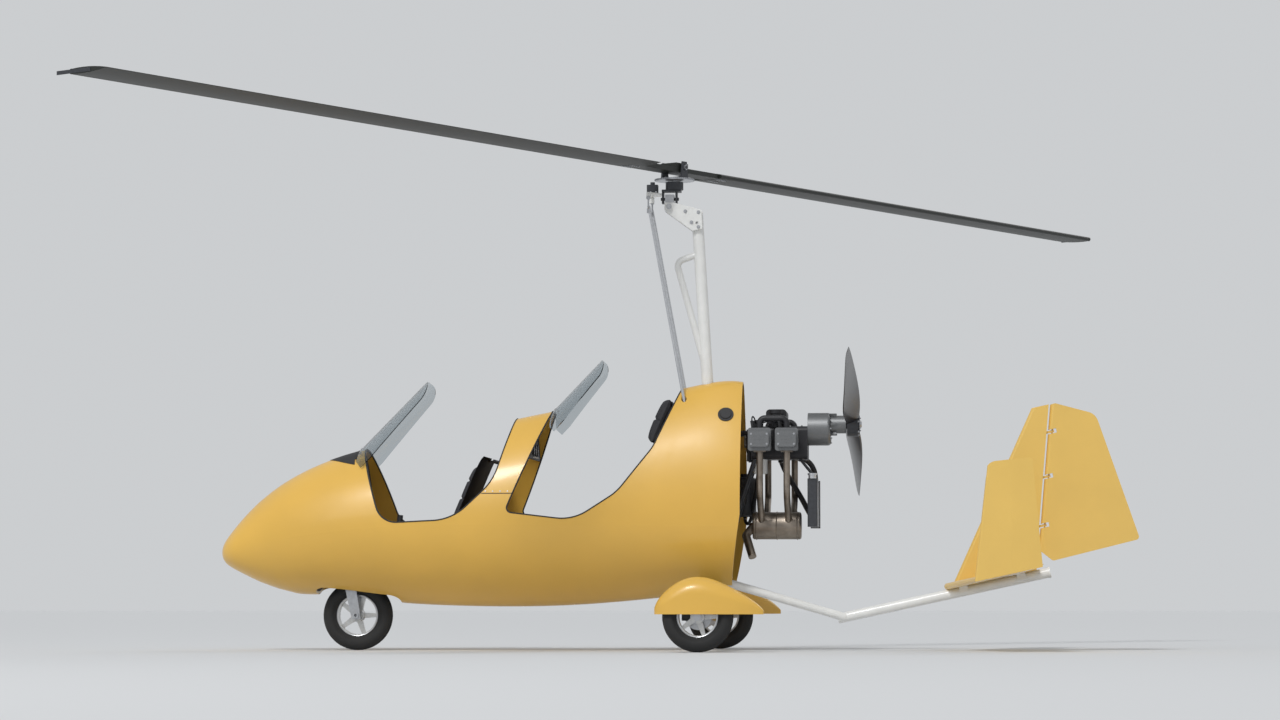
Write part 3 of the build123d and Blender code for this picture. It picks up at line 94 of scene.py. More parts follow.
# Places that repeat the solids' named sizes
ROTOR_AZIMUTH = 58.6
TEETER_Z = 2.498
HUB_BAR_DROP = 0.014
HUB_BAR_HALF = 0.012
CYLINDER_X = (0.462, 0.600)
BANK_OFFSET = 0.010
CRANK_Z = 1.075
PROP_HUB = (0.948, 0.0, 1.160)
BOOM_BEND = (0.860, 0.0, 0.168)
BOOM_RISE = 12.3
BOOM_LENGTH = 1.080
TYRE_NODES = [
    ("nose_tyre", "nose_rim", "nose_wheel"),
    ("tyre_port", "rim_port", "wheel_port"),
    ("tyre_starboard", "rim_starboard", "wheel_starboard"),
]
HOOD_SEAM_Z = 0.800

# Side lines of the two cockpits: x, z, corner radius
FRONT_RIM = [
    (-1.624, 1.090, 0.0),
    (-1.478, 0.650, 0.110),
    (-1.110, 0.668, 0.260),
    (-0.905, 0.865, 0.260),
    (-0.800, 1.260, 0.0),
]
REAR_RIM = [
    (-0.596, 1.310, 0.0),
    (-0.842, 0.706, 0.026),
    (-0.490, 0.664, 0.240),
    (-0.270, 0.806, 0.260),
    (-0.092, 1.036, 0.240),
    (0.062, 1.390, 0.0),
]

# Sections of the round nose: x, half width, crown, belly; and where it starts to blend into the shell
NOSE_SKIN = [
    (-2.3660, 0.0010, 0.5060, 0.5040),
    (-2.3625, 0.0380, 0.5340, 0.4780),
    (-2.3530, 0.0680, 0.5580, 0.4590),
    (-2.3360, 0.0980, 0.5850, 0.4410),
    (-2.3100, 0.1270, 0.6190, 0.4240),
    (-2.2800, 0.1500, 0.6560, 0.4080),
    (-2.2400, 0.1680, 0.7020, 0.3880),
    (-2.2000, 0.1830, 0.7430, 0.3690),
    (-2.1500, 0.2005, 0.7880, 0.3470),
    (-2.0600, 0.2340, 0.8540, 0.3160),
    (-1.9800, 0.2540, 0.8960, 0.2950),
    (-1.8900, 0.2730, 0.9380, 0.2840),
]
NOSE_BLEND_X = -2.060
NOSE_BLEND_LENGTH = 0.170

# Line of the nose's widest points: x and z where it starts, and its slope
NOSE_WAIST_X = -2.3655
NOSE_WAIST_Z = 0.505
NOSE_WAIST_SLOPE = 0.197

# Windscreens: x and z of the foot, x and z of the top, half width; and the bow of both
FRONT_SCREEN = (-1.672, 1.004, -1.290, 1.392, 0.215)
REAR_SCREEN = (-0.676, 1.188, -0.376, 1.500, 0.185)
SCREEN_BOW = 0.095

# Panels: x of the face with the dials, height of the lower row
PANELS = [(-1.619, 0.886), (-0.721, 1.034)]
DIAL_SPACING = 0.078
ROW_SPACING = 0.072

# Seats: node, x of the back's foot, recline, height of the back, length of the pan, half width
SEATS = [
    ("front_seat", -1.130, 22.5, 0.540, 0.265, 0.190),
    ("rear_seat", -0.205, 26.0, 0.560, 0.400, 0.175),
]
SEAT_FLOOR_Z = 0.338
SEAT_PAN_Z = SEAT_FLOOR_Z + 0.090

# Stuffing of the pads: voxel, pressure, how far a point may move, frames, depth and width of a sewn channel
PAD_VOXEL = 0.006
PAD_PRESSURE = 4.0
PAD_CAP = 0.008
PAD_FRAMES = 20
CHANNEL_DEPTH = 0.009
CHANNEL_WIDTH = 0.006

# Fairing between leg and spat: its x, and its sections with the distance from the middle of the aircraft,
# half length, height and half height
LEG_X = 0.180
LEG_COLLAR = [
    (0.628, 0.036, 0.1775, 0.013),
    (0.640, 0.041, 0.1755, 0.020),
    (0.672, 0.045, 0.172, 0.026),
    (0.7115, 0.052, 0.180, 0.034),
]

# Routes of the moulded hoses, then each hose with its radius and route
COOLANT_UPPER = [
    (0.719, 0.177, 0.872),
    (0.719, 0.177, 0.915),
    (0.700, 0.170, 0.960),
    (0.672, 0.150, 0.985),
    (0.650, 0.118, 0.990),
    (0.640, 0.085, 0.990),
]
COOLANT_LOWER = [
    (0.719, 0.188, 0.660),
    (0.719, 0.210, 0.662),
    (0.690, 0.222, 0.700),
    (0.640, 0.190, 0.800),
    (0.560, 0.110, 0.930),
    (0.545, 0.060, 0.985),
]
OIL_FEED = [
    (0.352, 0.172, 0.692),
    (0.352, 0.172, 0.660),
    (0.380, 0.150, 0.650),
    (0.410, 0.110, 0.780),
    (0.430, 0.060, 0.940),
    (0.440, 0.045, 0.985),
]
OIL_RETURN = [
    (0.372, 0.172, 0.905),
    (0.392, 0.150, 0.925),
    (0.420, 0.110, 0.950),
    (0.450, 0.085, 0.990),
]
HOSES = [
    ("coolant_upper", 0.014, COOLANT_UPPER),
    ("coolant_lower", 0.014, COOLANT_LOWER),
    ("oil_feed", 0.009, OIL_FEED),
    ("oil_return", 0.009, OIL_RETURN),
]

materials = {}


def colour_nodes(tree, shader, colour, grain, variation, bump):
    """Slow variation of the base colour, and a fine bump."""
    place = tree.nodes.new("ShaderNodeTexCoord").outputs["Object"]
    noise = tree.nodes.new("ShaderNodeTexNoise")
    noise.inputs["Scale"].default_value = grain
    noise.inputs["Detail"].default_value = 4.0
    tree.links.new(place, noise.inputs["Vector"])
    ramp = tree.nodes.new("ShaderNodeValToRGB")
    ramp.color_ramp.elements[0].position = 0.3
    ramp.color_ramp.elements[1].position = 0.7
    ramp.color_ramp.elements[0].color = (*[c * (1 - variation) for c in colour], 1)
    ramp.color_ramp.elements[1].color = (*[min(c * (1 + variation), 1) for c in colour], 1)
    tree.links.new(noise.outputs["Fac"], ramp.inputs["Fac"])
    tree.links.new(ramp.outputs["Color"], shader.inputs["Base Color"])
    if bump:
        relief = tree.nodes.new("ShaderNodeBump")
        relief.inputs["Distance"].default_value = bump / 1000
        relief.inputs["Strength"].default_value = 0.6
        tree.links.new(noise.outputs["Fac"], relief.inputs["Height"])
        tree.links.new(relief.outputs["Normal"], shader.inputs["Normal"])


def make_material(name, colour, metallic, roughness, coat, grain, variation, bump):
    """Finish of one slot."""
    material = bpy.data.materials.new(name)
    material.use_nodes = True
    shader = material.node_tree.nodes["Principled BSDF"]
    shader.inputs["Metallic"].default_value = metallic
    shader.inputs["Roughness"].default_value = roughness
    shader.inputs["Coat Weight"].default_value = coat
    shader.inputs["Coat Roughness"].default_value = COAT_ROUGHNESS
    colour_nodes(material.node_tree, shader, colour, grain, variation, bump)
    return material


def make_screen_material():
    """Lightly tinted clear acrylic."""
    material = bpy.data.materials.new("screen")
    material.use_nodes = True
    shader = material.node_tree.nodes["Principled BSDF"]
    shader.inputs["Base Color"].default_value = (*SCREEN_TINT, 1)
    shader.inputs["Transmission Weight"].default_value = 1.0
    shader.inputs["Roughness"].default_value = 0.03
    shader.inputs["IOR"].default_value = 1.35
    return material


def dress_nodes():
    """Give every carried-over solid the material of its slot."""
    for name, values in FINISHES.items():
        materials[name] = make_material(name, *values)
    materials["screen"] = make_screen_material()
    slots = {part["node"]: part["material_slot"] for part in frame["record"]["subparts"]}
    for name, obj in frame["nodes"].items():
        obj.data.materials.clear()
        obj.data.materials.append(materials[slots[name]])


def place_piece(name, data, slot, body):
    """Put a mesh or curve in the scene with its material, slot and body."""
    data.materials.append(materials[slot])
    piece = bpy.data.objects.new(name, data)
    bpy.context.scene.collection.objects.link(piece)
    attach(piece, body)
    return piece


def add_piece(name, bm, slot, body, smooth_angle=35.0):
    """Turn a bmesh into a piece with its slot and body."""
    bmesh.ops.recalc_face_normals(bm, faces=bm.faces)
    mesh = bpy.data.meshes.new(name)
    bm.to_mesh(mesh)
    bm.free()
    for polygon in mesh.polygons:
        polygon.use_smooth = True
    mesh.set_sharp_from_angle(angle=math.radians(smooth_angle))
    return place_piece(name, mesh, slot, body)


def facing(axis):
    """Rotation that takes +Z to the axis."""
    return Vector((0, 0, 1)).rotation_difference(Vector(axis)).to_matrix().to_4x4()


def add_cylinder(bm, start, end, radius, sides=24, end_radius=None):
    """Closed cylinder or cone between two points."""
    a, b = Vector(start), Vector(end)
    bmesh.ops.create_cone(
        bm,
        cap_ends=True,
        segments=sides,
        radius1=radius,
        radius2=radius if end_radius is None else end_radius,
        depth=(b - a).length,
        matrix=Matrix.Translation((a + b) / 2) @ facing(b - a),
    )


def add_box(bm, low, high, turn=None):
    """Box between two corners, turned by a matrix if one is given."""
    low, high = Vector(low), Vector(high)
    place = Matrix.Translation((low + high) / 2) @ Matrix.Diagonal((*(high - low), 1))
    bmesh.ops.create_cube(bm, size=1, matrix=turn @ place if turn else place)


def add_bolt(bm, place, axis, radius):
    """Washer and hexagon head standing on a face."""
    place, axis = Vector(place), Vector(axis).normalized()
    add_cylinder(bm, place, place + axis * radius * 0.25, radius * 1.45, 20)
    add_cylinder(bm, place + axis * radius * 0.25, place + axis * radius * 1.2, radius, 6)


def add_ring(bm, centre, axis, radius, wire, steps=48, sides=10):
    """Torus about an axis."""
    turn = Matrix.Translation(Vector(centre)) @ facing(axis)
    loops = []
    for i in range(steps):
        angle = 2 * math.pi * i / steps
        loop = []
        for k in range(sides):
            around = 2 * math.pi * k / sides
            out = radius + wire * math.cos(around)
            point = Vector((out * math.cos(angle), out * math.sin(angle), wire * math.sin(around)))
            loop.append(bm.verts.new(turn @ point))
        loops.append(loop)
    join_loops(bm, loops, closed=True)


def join_loops(bm, loops, closed=False):
    """Faces between loops of equally many points."""
    pairs = list(zip(loops, loops[1:]))
    if closed:
        pairs.append((loops[-1], loops[0]))
    for one, two in pairs:
        for k in range(len(one)):
            after = (k + 1) % len(one)
            bm.faces.new((one[k], one[after], two[after], two[k]))


def circle_points(centre, axis, radius, count, start=0.0):
    """Points spaced evenly round an axis."""
    turn = facing(axis)
    spots = []
    for i in range(count):
        angle = start + 2 * math.pi * i / count
        spots.append(Vector(centre) + turn @ Vector((radius * math.cos(angle), radius * math.sin(angle), 0)))
    return spots


def round_curve(name, radius, roundness):
    """Round-sectioned curve, before its splines."""
    curve = bpy.data.curves.new(name, "CURVE")
    curve.dimensions = "3D"
    curve.bevel_depth = radius
    curve.bevel_resolution = roundness
    curve.use_fill_caps = True
    return curve


def add_spline(curve, kind, points):
    """Spline of a kind through or along some points."""
    spline = curve.splines.new(kind)
    spline.points.add(len(points) - 1)
    for spot, point in zip(spline.points, points):
        spot.co = (*point, 1)
    return spline


def add_tube(name, points, radius):
    """Formed hose or lead along a smooth line."""
    curve = round_curve(name, radius, 4)
    spline = add_spline(curve, "NURBS", points)
    spline.order_u = 3
    spline.use_endpoint_u = True
    curve.resolution_u = 10
    place_piece(name, curve, "dark_moulding", "airframe")


def add_piping(name, chains, radius):
    """Round rubber beading along runs of places."""
    curve = round_curve(name, radius, 2)
    for chain in chains:
        add_spline(curve, "POLY", chain)
    place_piece(name, curve, "dark_moulding", "airframe")


def surface_tree(*names):
    """Search tree over the triangles of some nodes."""
    points, faces = [], []
    for name in names:
        mesh = frame["nodes"][name].data
        base = len(points)
        points += [vertex.co.copy() for vertex in mesh.vertices]
        faces += [[base + i for i in polygon.vertices] for polygon in mesh.polygons]
    return BVHTree.FromPolygons(points, faces)


def tyre_profile(radius, half, rim_r):
    """Half of a tyre's section from the bead to the middle of the tread: distance from the axle, offset."""
    wall_r = radius - 0.84 * half
    profile = [(rim_r, half * 0.58), (rim_r + 0.004, half * 0.66), (rim_r + 0.010, half * 0.70)]
    for share in (0.35, 0.60, 0.80, 1.0):
        reach = rim_r + 0.010 + (wall_r - rim_r - 0.010) * share
        profile.append((reach, half * (0.76 + 0.24 * math.sin(share * math.pi / 2))))
    for step in range(1, 9):
        angle = math.radians(step * 9.5)
        profile.append((wall_r + (radius - wall_r) * math.sin(angle) ** 0.9, half * math.cos(angle) ** 0.85))
    crown = radius - 0.0002
    groove = crown - 0.0045
    outer = half * 0.30
    profile += [(crown, outer + 0.0030), (groove, outer + 0.0020)]
    profile += [(groove, outer - 0.0020), (crown, outer - 0.0030)]
    profile += [(crown, 0.0030), (groove, 0.0020)]
    return profile


def make_tyres():
    """Ribbed tyres in place of the plain ones, with hub bolts, rim lips and a valve on each wheel."""
    for node, rim_node, body in TYRE_NODES:
        low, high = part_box(node)
        rim_low, rim_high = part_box(rim_node)
        centre = (Vector(low) + Vector(high)) / 2
        radius, half = (high[0] - low[0]) / 2 - 0.0004, (high[1] - low[1]) / 2 - 0.0015
        rim_r = (rim_high[0] - rim_low[0]) / 2 - 0.001
        outer = tyre_profile(radius, half, rim_r)
        section = outer + [(r, -y) for r, y in reversed(outer)]
        bm = bmesh.new()
        loops = []
        for i in range(120):
            angle = 2 * math.pi * i / 120
            turn = Vector((math.cos(angle), 0, math.sin(angle)))
            loops.append([bm.verts.new(centre + turn * r + Vector((0, y, 0))) for r, y in section])
        join_loops(bm, loops, closed=True)
        tyre = add_piece(f"{node}_tread", bm, "tyre", body)
        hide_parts(node)
        make_wheel_details(body, centre, rim_low, rim_high, rim_r)


def make_wheel_details(body, centre, rim_low, rim_high, rim_r):
    """Hub bolts, rim lips and valve of one wheel."""
    bm = bmesh.new()
    reach = (rim_high[1] - rim_low[1]) / 2
    for side in (-1, 1):
        face = centre + Vector((0, side * (reach - 0.0055), 0))
        for spot in circle_points(face, (0, side, 0), 0.028, 5, math.radians(36)):
            add_bolt(bm, spot, (0, side, 0), 0.0030)
        lip = centre + Vector((0, side * (reach - 0.0095), 0))
        add_ring(bm, lip, (0, 1, 0), rim_r - 0.001, 0.0028, 72, 8)
    outward = -1 if centre.y <= 0 else 1
    stem = centre + Vector((0, outward * (reach - 0.022), rim_r - 0.012))
    add_cylinder(bm, stem, stem + Vector((0, outward * 0.020, -0.004)), 0.0028, 12)
    add_piece(f"{body}_fastenings", bm, "steel", body)


def make_brakes():
    """Disc on the inboard side of each main wheel, and its caliper on the axle block."""
    for side, body in ((-1, "wheel_port"), (1, "wheel_starboard")):
        low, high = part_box(body.replace("wheel", "rim"))
        centre = (Vector(low) + Vector(high)) / 2
        inboard = centre.y - side * (high[1] - low[1]) / 2
        bm = bmesh.new()
        disc = Vector((centre.x, inboard - side * 0.002, centre.z))
        add_cylinder(bm, disc, disc - Vector((0, side * 0.005, 0)), 0.066, 48)
        add_cylinder(bm, disc, disc + Vector((0, side * 0.004, 0)), 0.030, 24)
        add_piece(f"{body}_disc", bm, "steel", body)
        bm = bmesh.new()
        for reach in (0.011, -0.017):
            y0, y1 = sorted((disc.y - side * (reach + 0.012), disc.y - side * reach))
            add_box(bm, (centre.x - 0.074, y0, centre.z - 0.020), (centre.x - 0.036, y1, centre.z + 0.026))
        y0, y1 = sorted((disc.y - side * 0.022, disc.y + side * 0.017))
        add_box(bm, (centre.x - 0.082, y0, centre.z - 0.020), (centre.x - 0.070, y1, centre.z + 0.026))
        y0, y1 = sorted((disc.y - side * 0.032, disc.y - side * 0.020))
        add_box(bm, (centre.x - 0.076, y0, centre.z - 0.012), (centre.x - 0.010, y1, centre.z + 0.014))
        bmesh.ops.bevel(bm, geom=bm.edges, offset=0.0015, segments=2, affect="EDGES")
        add_piece(f"caliper{'_port' if side < 0 else '_starboard'}", bm, "dark_metal", "airframe")


def make_leg_collars():
    """Fairing where each leg runs into its spat."""
    for side, word in ((-1, "port"), (1, "starboard")):
        bm = bmesh.new()
        loops = []
        for y, half_x, mid_z, half_z in LEG_COLLAR:
            loop = []
            for k in range(32):
                angle = 2 * math.pi * k / 32
                x = LEG_X + half_x * math.copysign(abs(math.cos(angle)) ** 0.8, math.cos(angle))
                z = mid_z + half_z * math.copysign(abs(math.sin(angle)) ** 0.8, math.sin(angle))
                loop.append(bm.verts.new((x, side * y, z)))
            loops.append(loop)
        join_loops(bm, loops)
        bm.faces.new(loops[0])
        bm.faces.new(loops[-1])
        add_piece(f"leg_collar_{word}", bm, "yellow_shell", "airframe", 50.0)


def rim_outline(rim):
    """Points along a cockpit's side line, with its corners rounded."""
    points = [Vector((rim[0][0], 0, rim[0][1]))]
    for before, (x, z, radius), after in zip(rim, rim[1:], rim[2:]):
        corner = Vector((x, 0, z))
        back = (Vector((before[0], 0, before[1])) - corner).normalized()
        ahead = (Vector((after[0], 0, after[1])) - corner).normalized()
        half = back.angle(ahead) / 2
        centre = corner + (back + ahead).normalized() * (radius / math.sin(half))
        start = corner + back * (radius / math.tan(half)) - centre
        end = corner + ahead * (radius / math.tan(half)) - centre
        for i in range(25):
            points.append(centre + start.slerp(end, i / 24).normalized() * radius)
    points.append(Vector((rim[-1][0], 0, rim[-1][1])))
    return points


def off_line(spot, line):
    """Distance of a point from a line of points, seen from the side."""
    flat = Vector((spot.x, 0, spot.z))
    least = 9.0
    for a, b in zip(line, line[1:]):
        run = b - a
        share = min(max((flat - a).dot(run) / run.length_squared, 0.0), 1.0)
        least = min(least, (flat - a - run * share).length)
    return least


def edge_chains(edges):
    """Runs of joined edges, as lists of places."""
    links = {}
    for edge in edges:
        for one, two in (edge.verts, reversed(edge.verts)):
            links.setdefault(one, []).append(two)
    chains = []
    for start in sorted(links, key=lambda vert: len(links[vert])):
        while links[start]:
            chain, here = [start.co.copy()], start
            while links[here]:
                after = links[here].pop()
                links[after].remove(here)
                chain.append(after.co.copy())
                here = after
            chains.append(chain)
    return chains


def make_rim_trim():
    """Rubber edging over the cut edges of both cockpits."""
    lines = [rim_outline(FRONT_RIM), rim_outline(REAR_RIM)]
    for node in ("pod_shell", "cockpit_hood"):
        bm = bmesh.new()
        bm.from_mesh(frame["nodes"][node].data)
        bmesh.ops.remove_doubles(bm, verts=bm.verts, dist=1e-5)
        on_rim = set()
        for vert in bm.verts:
            if min(off_line(vert.co, line) for line in lines) < 0.0006:
                on_rim.add(vert)
        spare = [face for face in bm.faces if not all(vert in on_rim for vert in face.verts)]
        bmesh.ops.delete(bm, geom=spare, context="FACES")
        edges = [edge for edge in bm.edges if len(edge.link_faces) == 1]
        ends = [edge for edge in edges if all(abs(v.co.z - HOOD_SEAM_Z) < 0.0002 for v in edge.verts)]
        chains = edge_chains([edge for edge in edges if edge not in ends])
        add_piping(f"{node}_edging", chains, 0.0034)
        bmesh.ops.solidify(bm, geom=bm.faces, thickness=-0.0030)
        add_piece(f"{node}_edge_strip", bm, "dark_moulding", "airframe", 40.0)


def side_hit(tree, x, z, side):
    """Point and normal of the shell's outer side at x and z."""
    spot, normal, _, _ = tree.ray_cast(Vector((x, side * 2.0, z)), Vector((0, -side, 0)))
    return spot, normal


def make_hood_seams(tree):
    """Joint between the hood and the shell on each side, with its screws."""
    for side, word in ((-1, "port"), (1, "starboard")):
        seam, screws = bmesh.new(), bmesh.new()
        rows = []
        for i in range(25):
            x = -0.960 + i * 0.150 / 24
            row = []
            for rise in (-0.0012, 0.0012):
                spot, normal = side_hit(tree, x, HOOD_SEAM_Z + rise, side)
                if spot is None:
                    continue
                row.append(seam.verts.new(spot + normal * 0.0006))
            if len(row) == 2:
                rows.append(row)
        for one, two in zip(rows, rows[1:]):
            seam.faces.new((one[0], two[0], two[1], one[1]))
        add_piece(f"hood_seam_{word}", seam, "dark_moulding", "airframe")
        for i in range(4):
            spot, normal = side_hit(tree, -0.942 + i * 0.038, HOOD_SEAM_Z + 0.012, side)
            if spot is not None:
                add_cylinder(screws, spot, spot + normal * 0.0018, 0.0042, 16, 0.0030)
        add_piece(f"hood_screws_{word}", screws, "steel", "airframe")


def screen_foot(tree, screen, share, past=-0.003):
    """Where a windscreen's outer face meets the pod at a share of its half width, its normal and its rake."""
    foot_x, foot_z, top_x, top_z, half = screen
    up = Vector((top_x - foot_x, 0, top_z - foot_z))
    rake = up.length
    up.normalize()
    out = Vector((-up.z, 0, up.x))
    bend = (half**2 + SCREEN_BOW**2) / (2 * SCREEN_BOW)
    y = half * share
    across = out * math.sqrt(bend**2 - y**2) + Vector((0, y, 0))
    start = Vector((foot_x, 0, foot_z)) + up * rake - out * bend + across
    spot, _, _, _ = tree.ray_cast(start, -up, rake + past)
    return spot, across.normalized(), up


def make_screen_fittings(tree, screen, name):
    """Rubber bead and screws along the foot of one windscreen."""
    path, screws = [], bmesh.new()
    for i in range(41):
        spot, outward, up = screen_foot(tree, screen, 0.985 * (i / 20 - 1))
        if spot is None:
            continue
        path.append(spot - outward * 0.002)
        if i % 5 == 0 and 0 < i < 40:
            place = spot + up * 0.022
            add_cylinder(screws, place - outward * 0.006, place + outward * 0.003, 0.0062, 16, 0.0048)
    add_piece(f"{name}_screws", screws, "steel", "airframe")
    add_piping(f"{name}_bead", [path], 0.0062)


def make_glare_panel(tree):
    """Dark anti-glare panel on the deck ahead of the front windscreen."""
    bm = bmesh.new()
    columns = []
    for k in range(33):
        share = 0.80 * (k / 16 - 1)
        y = FRONT_SCREEN[4] * share
        aft = screen_foot(tree, FRONT_SCREEN, share, 0.020)[0].x - 0.004
        fore = aft - 0.004 - 0.150 * (1 - (k / 16 - 1) ** 2)
        column = []
        for i in range(13):
            x = fore + (aft - fore) * i / 12
            spot, normal, _, _ = tree.ray_cast(Vector((x, y, 2.0)), Vector((0, 0, -1)))
            column.append(bm.verts.new(spot + normal * 0.0022))
        columns.append(column)
    for one, two in zip(columns, columns[1:]):
        for i in range(12):
            bm.faces.new((one[i], one[i + 1], two[i + 1], two[i]))
    bmesh.ops.recalc_face_normals(bm, faces=bm.faces)
    bmesh.ops.solidify(bm, geom=bm.faces, thickness=0.0032)
    add_piece("glare_panel", bm, "dark_moulding", "airframe", 50.0)


def make_nose_skin(tree):
    """Smooth round nose over the front of the pod, which it covers and fills out."""
    reach_out = 1.0
    bm = bmesh.new()
    loops = []
    for x, half, crown, belly in smooth_line([Vector(row) for row in NOSE_SKIN], 5):
        waist = NOSE_WAIST_Z + (x - NOSE_WAIST_X) * NOSE_WAIST_SLOPE
        blend = max(0.0, (x - NOSE_BLEND_X) / NOSE_BLEND_LENGTH)
        loop = []
        for k in range(72):
            angle = 2 * math.pi * k / 72
            power = 1.9 if k <= 36 else 2.0
            c, s = math.cos(angle), math.sin(angle)
            y = half * math.copysign(abs(c) ** (2 / power), c)
            z = (crown - waist if s > 0 else waist - belly) * math.copysign(abs(s) ** (2 / power), s)
            centre, way = Vector((x, 0, waist)), Vector((0, y, z))
            reach = way.length
            way.normalize()
            if reach > 0.002:
                spot, _, _, distance = tree.ray_cast(centre + way * reach_out, -way, reach_out)
                if spot is not None:
                    shell = reach_out - distance + 0.0010
                    reach = max(reach, shell) * (1 - blend) + (shell - 0.0030) * blend
            loop.append(bm.verts.new(centre + way * reach))
        loops.append(loop)
    join_loops(bm, loops)
    bmesh.ops.remove_doubles(bm, verts=bm.verts, dist=2e-5)
    add_piece("nose_skin", bm, "yellow_shell", "airframe", 60.0)


def make_dials():
    """Dial faces with tick marks and needles on both instrument panels."""
    faces, marks = bmesh.new(), bmesh.new()
    for panel, (x, low) in enumerate(PANELS):
        for row, count in ((0, 3), (1, 2)):
            for index in range(count):
                centre = Vector((x, (index - (count - 1) / 2) * DIAL_SPACING, low + row * ROW_SPACING))
                add_cylinder(faces, centre, centre + Vector((0.0008, 0, 0)), 0.027, 40)
                add_ring(faces, centre + Vector((0.0012, 0, 0)), (1, 0, 0), 0.0285, 0.0018, 40, 8)
                for tick in range(24):
                    turn = Matrix.Translation(centre) @ Matrix.Rotation(math.radians(15 * tick), 4, "X")
                    long = 0.006 if tick % 3 == 0 else 0.0035
                    add_box(marks, (0.0007, -0.0005, 0.0245 - long), (0.0013, 0.0005, 0.0245), turn)
                lean = Matrix.Rotation(math.radians(35 + 70 * (index + row + panel)), 4, "X")
                turn = Matrix.Translation(centre) @ lean
                add_box(marks, (0.0014, -0.0008, -0.005), (0.0020, 0.0008, 0.020), turn)
                boss = centre + Vector((0.0012, 0, 0))
                add_cylinder(marks, boss, centre + Vector((0.0024, 0, 0)), 0.0028, 16)
        for index in range(5):
            y = (index - 2) * 0.034
            knob = Vector((x - 0.007, y, low - 0.040))
            add_cylinder(marks, knob, knob + Vector((0.012, 0, 0.003)), 0.0024, 10)
    add_piece("dial_faces", faces, "engine_black", "airframe")
    add_piece("dial_marks", marks, "white_paint", "airframe")


def seat_line(seat):
    """Side line of one seat from the front lip over the pan and up the back."""
    _, back_x, recline, back_length, pan, _ = seat
    lean = back_length * math.tan(math.radians(recline))
    return [
        Vector((back_x - pan + 0.006, 0, SEAT_PAN_Z + 0.012)),
        Vector((back_x - pan + 0.030, 0, SEAT_PAN_Z + 0.024)),
        Vector((back_x - pan * 0.60, 0, SEAT_PAN_Z + 0.002)),
        Vector((back_x - 0.090, 0, SEAT_PAN_Z - 0.006)),
        Vector((back_x - 0.048, 0, SEAT_PAN_Z + 0.020)),
        Vector((back_x - 0.050 + lean * 0.25, 0, SEAT_PAN_Z + back_length * 0.25)),
        Vector((back_x - 0.050 + lean * 0.96, 0, SEAT_PAN_Z + back_length * 0.96)),
        Vector((back_x - 0.040 + lean, 0, SEAT_PAN_Z + back_length)),
    ]


def smooth_line(points, steps):
    """Points spaced along a smooth line through the given ones."""
    line = []
    padded = [points[0] * 2 - points[1]] + points + [points[-1] * 2 - points[-2]]
    for i in range(1, len(padded) - 2):
        a, b, c, d = padded[i - 1:i + 3]
        for k in range(steps):
            t = k / steps
            square = (2 * a - 5 * b + 4 * c - d) * t**2
            cube = (3 * b - a - 3 * c + d) * t**3
            line.append(0.5 * (2 * b + (c - a) * t + square + cube))
    line.append(points[-1])
    return line


def make_seat_shell(seat):
    """Moulded bucket of one seat with raised sides, on its base."""
    node, back_x, _, _, pan, half = seat
    line = smooth_line(seat_line(seat), 6)
    bm = bmesh.new()
    rows = []
    for i, spot in enumerate(line):
        ahead = line[min(i + 1, len(line) - 1)] - line[max(i - 1, 0)]
        normal = Vector((-ahead.z, 0, ahead.x)).normalized()
        taper = min(i, len(line) - 1 - i, 8) / 8
        row = []
        for k in range(25):
            share = k / 12 - 1
            rise = 0.034 * taper * (2 - taper) * abs(share) ** 5
            width = half * (1 - 0.14 * (1 - taper) ** 3)
            row.append(bm.verts.new(spot + normal * rise + Vector((0, width * share, 0))))
        rows.append(row)
    for one, two in zip(rows, rows[1:]):
        for k in range(24):
            bm.faces.new((one[k], one[k + 1], two[k + 1], two[k]))
    bmesh.ops.solidify(bm, geom=bm.faces, thickness=0.006)
    low = (back_x - pan + 0.03, -half + 0.03, SEAT_FLOOR_Z)
    add_box(bm, low, (back_x - 0.02, half - 0.03, SEAT_PAN_Z - 0.012))
    shell = add_piece(f"{node}_shell", bm, "dark_moulding", "airframe", 45.0)
    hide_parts(node)


def cushion_mesh(width, length, thick):
    """Crowned closed form of a pad, lying flat about its middle."""
    bm = bmesh.new()
    across, along = 32, 72
    for face in (1, -1):
        rows = []
        for i in range(along + 1):
            v = i / along * 2 - 1
            row = []
            for k in range(across + 1):
                u = k / across * 2 - 1
                fall = max(0.0, 1 - abs(u) ** 6) * max(0.0, 1 - abs(v) ** 6)
                pull = 1 - 0.035 * (1 - abs(u) ** 2) * abs(v) ** 8
                height = thick / 2 * fall ** 0.5
                if face > 0:
                    height += thick * 0.22 * (1 - u * u) * (1 - v * v)
                row.append(bm.verts.new((u * width / 2, v * length / 2 * pull, face * height)))
            rows.append(row)
        for one, two in zip(rows, rows[1:]):
            for k in range(across):
                quad = (one[k], one[k + 1], two[k + 1], two[k])
                bm.faces.new(quad if face > 0 else quad[::-1])
    bmesh.ops.remove_doubles(bm, verts=bm.verts, dist=1e-5)
    return bm


def applied_mesh(piece):
    """Mesh of a piece with its modifiers applied."""
    graph = bpy.context.evaluated_depsgraph_get()
    mesh = bpy.data.meshes.new_from_object(piece.evaluated_get(graph))
    piece.modifiers.clear()
    return mesh


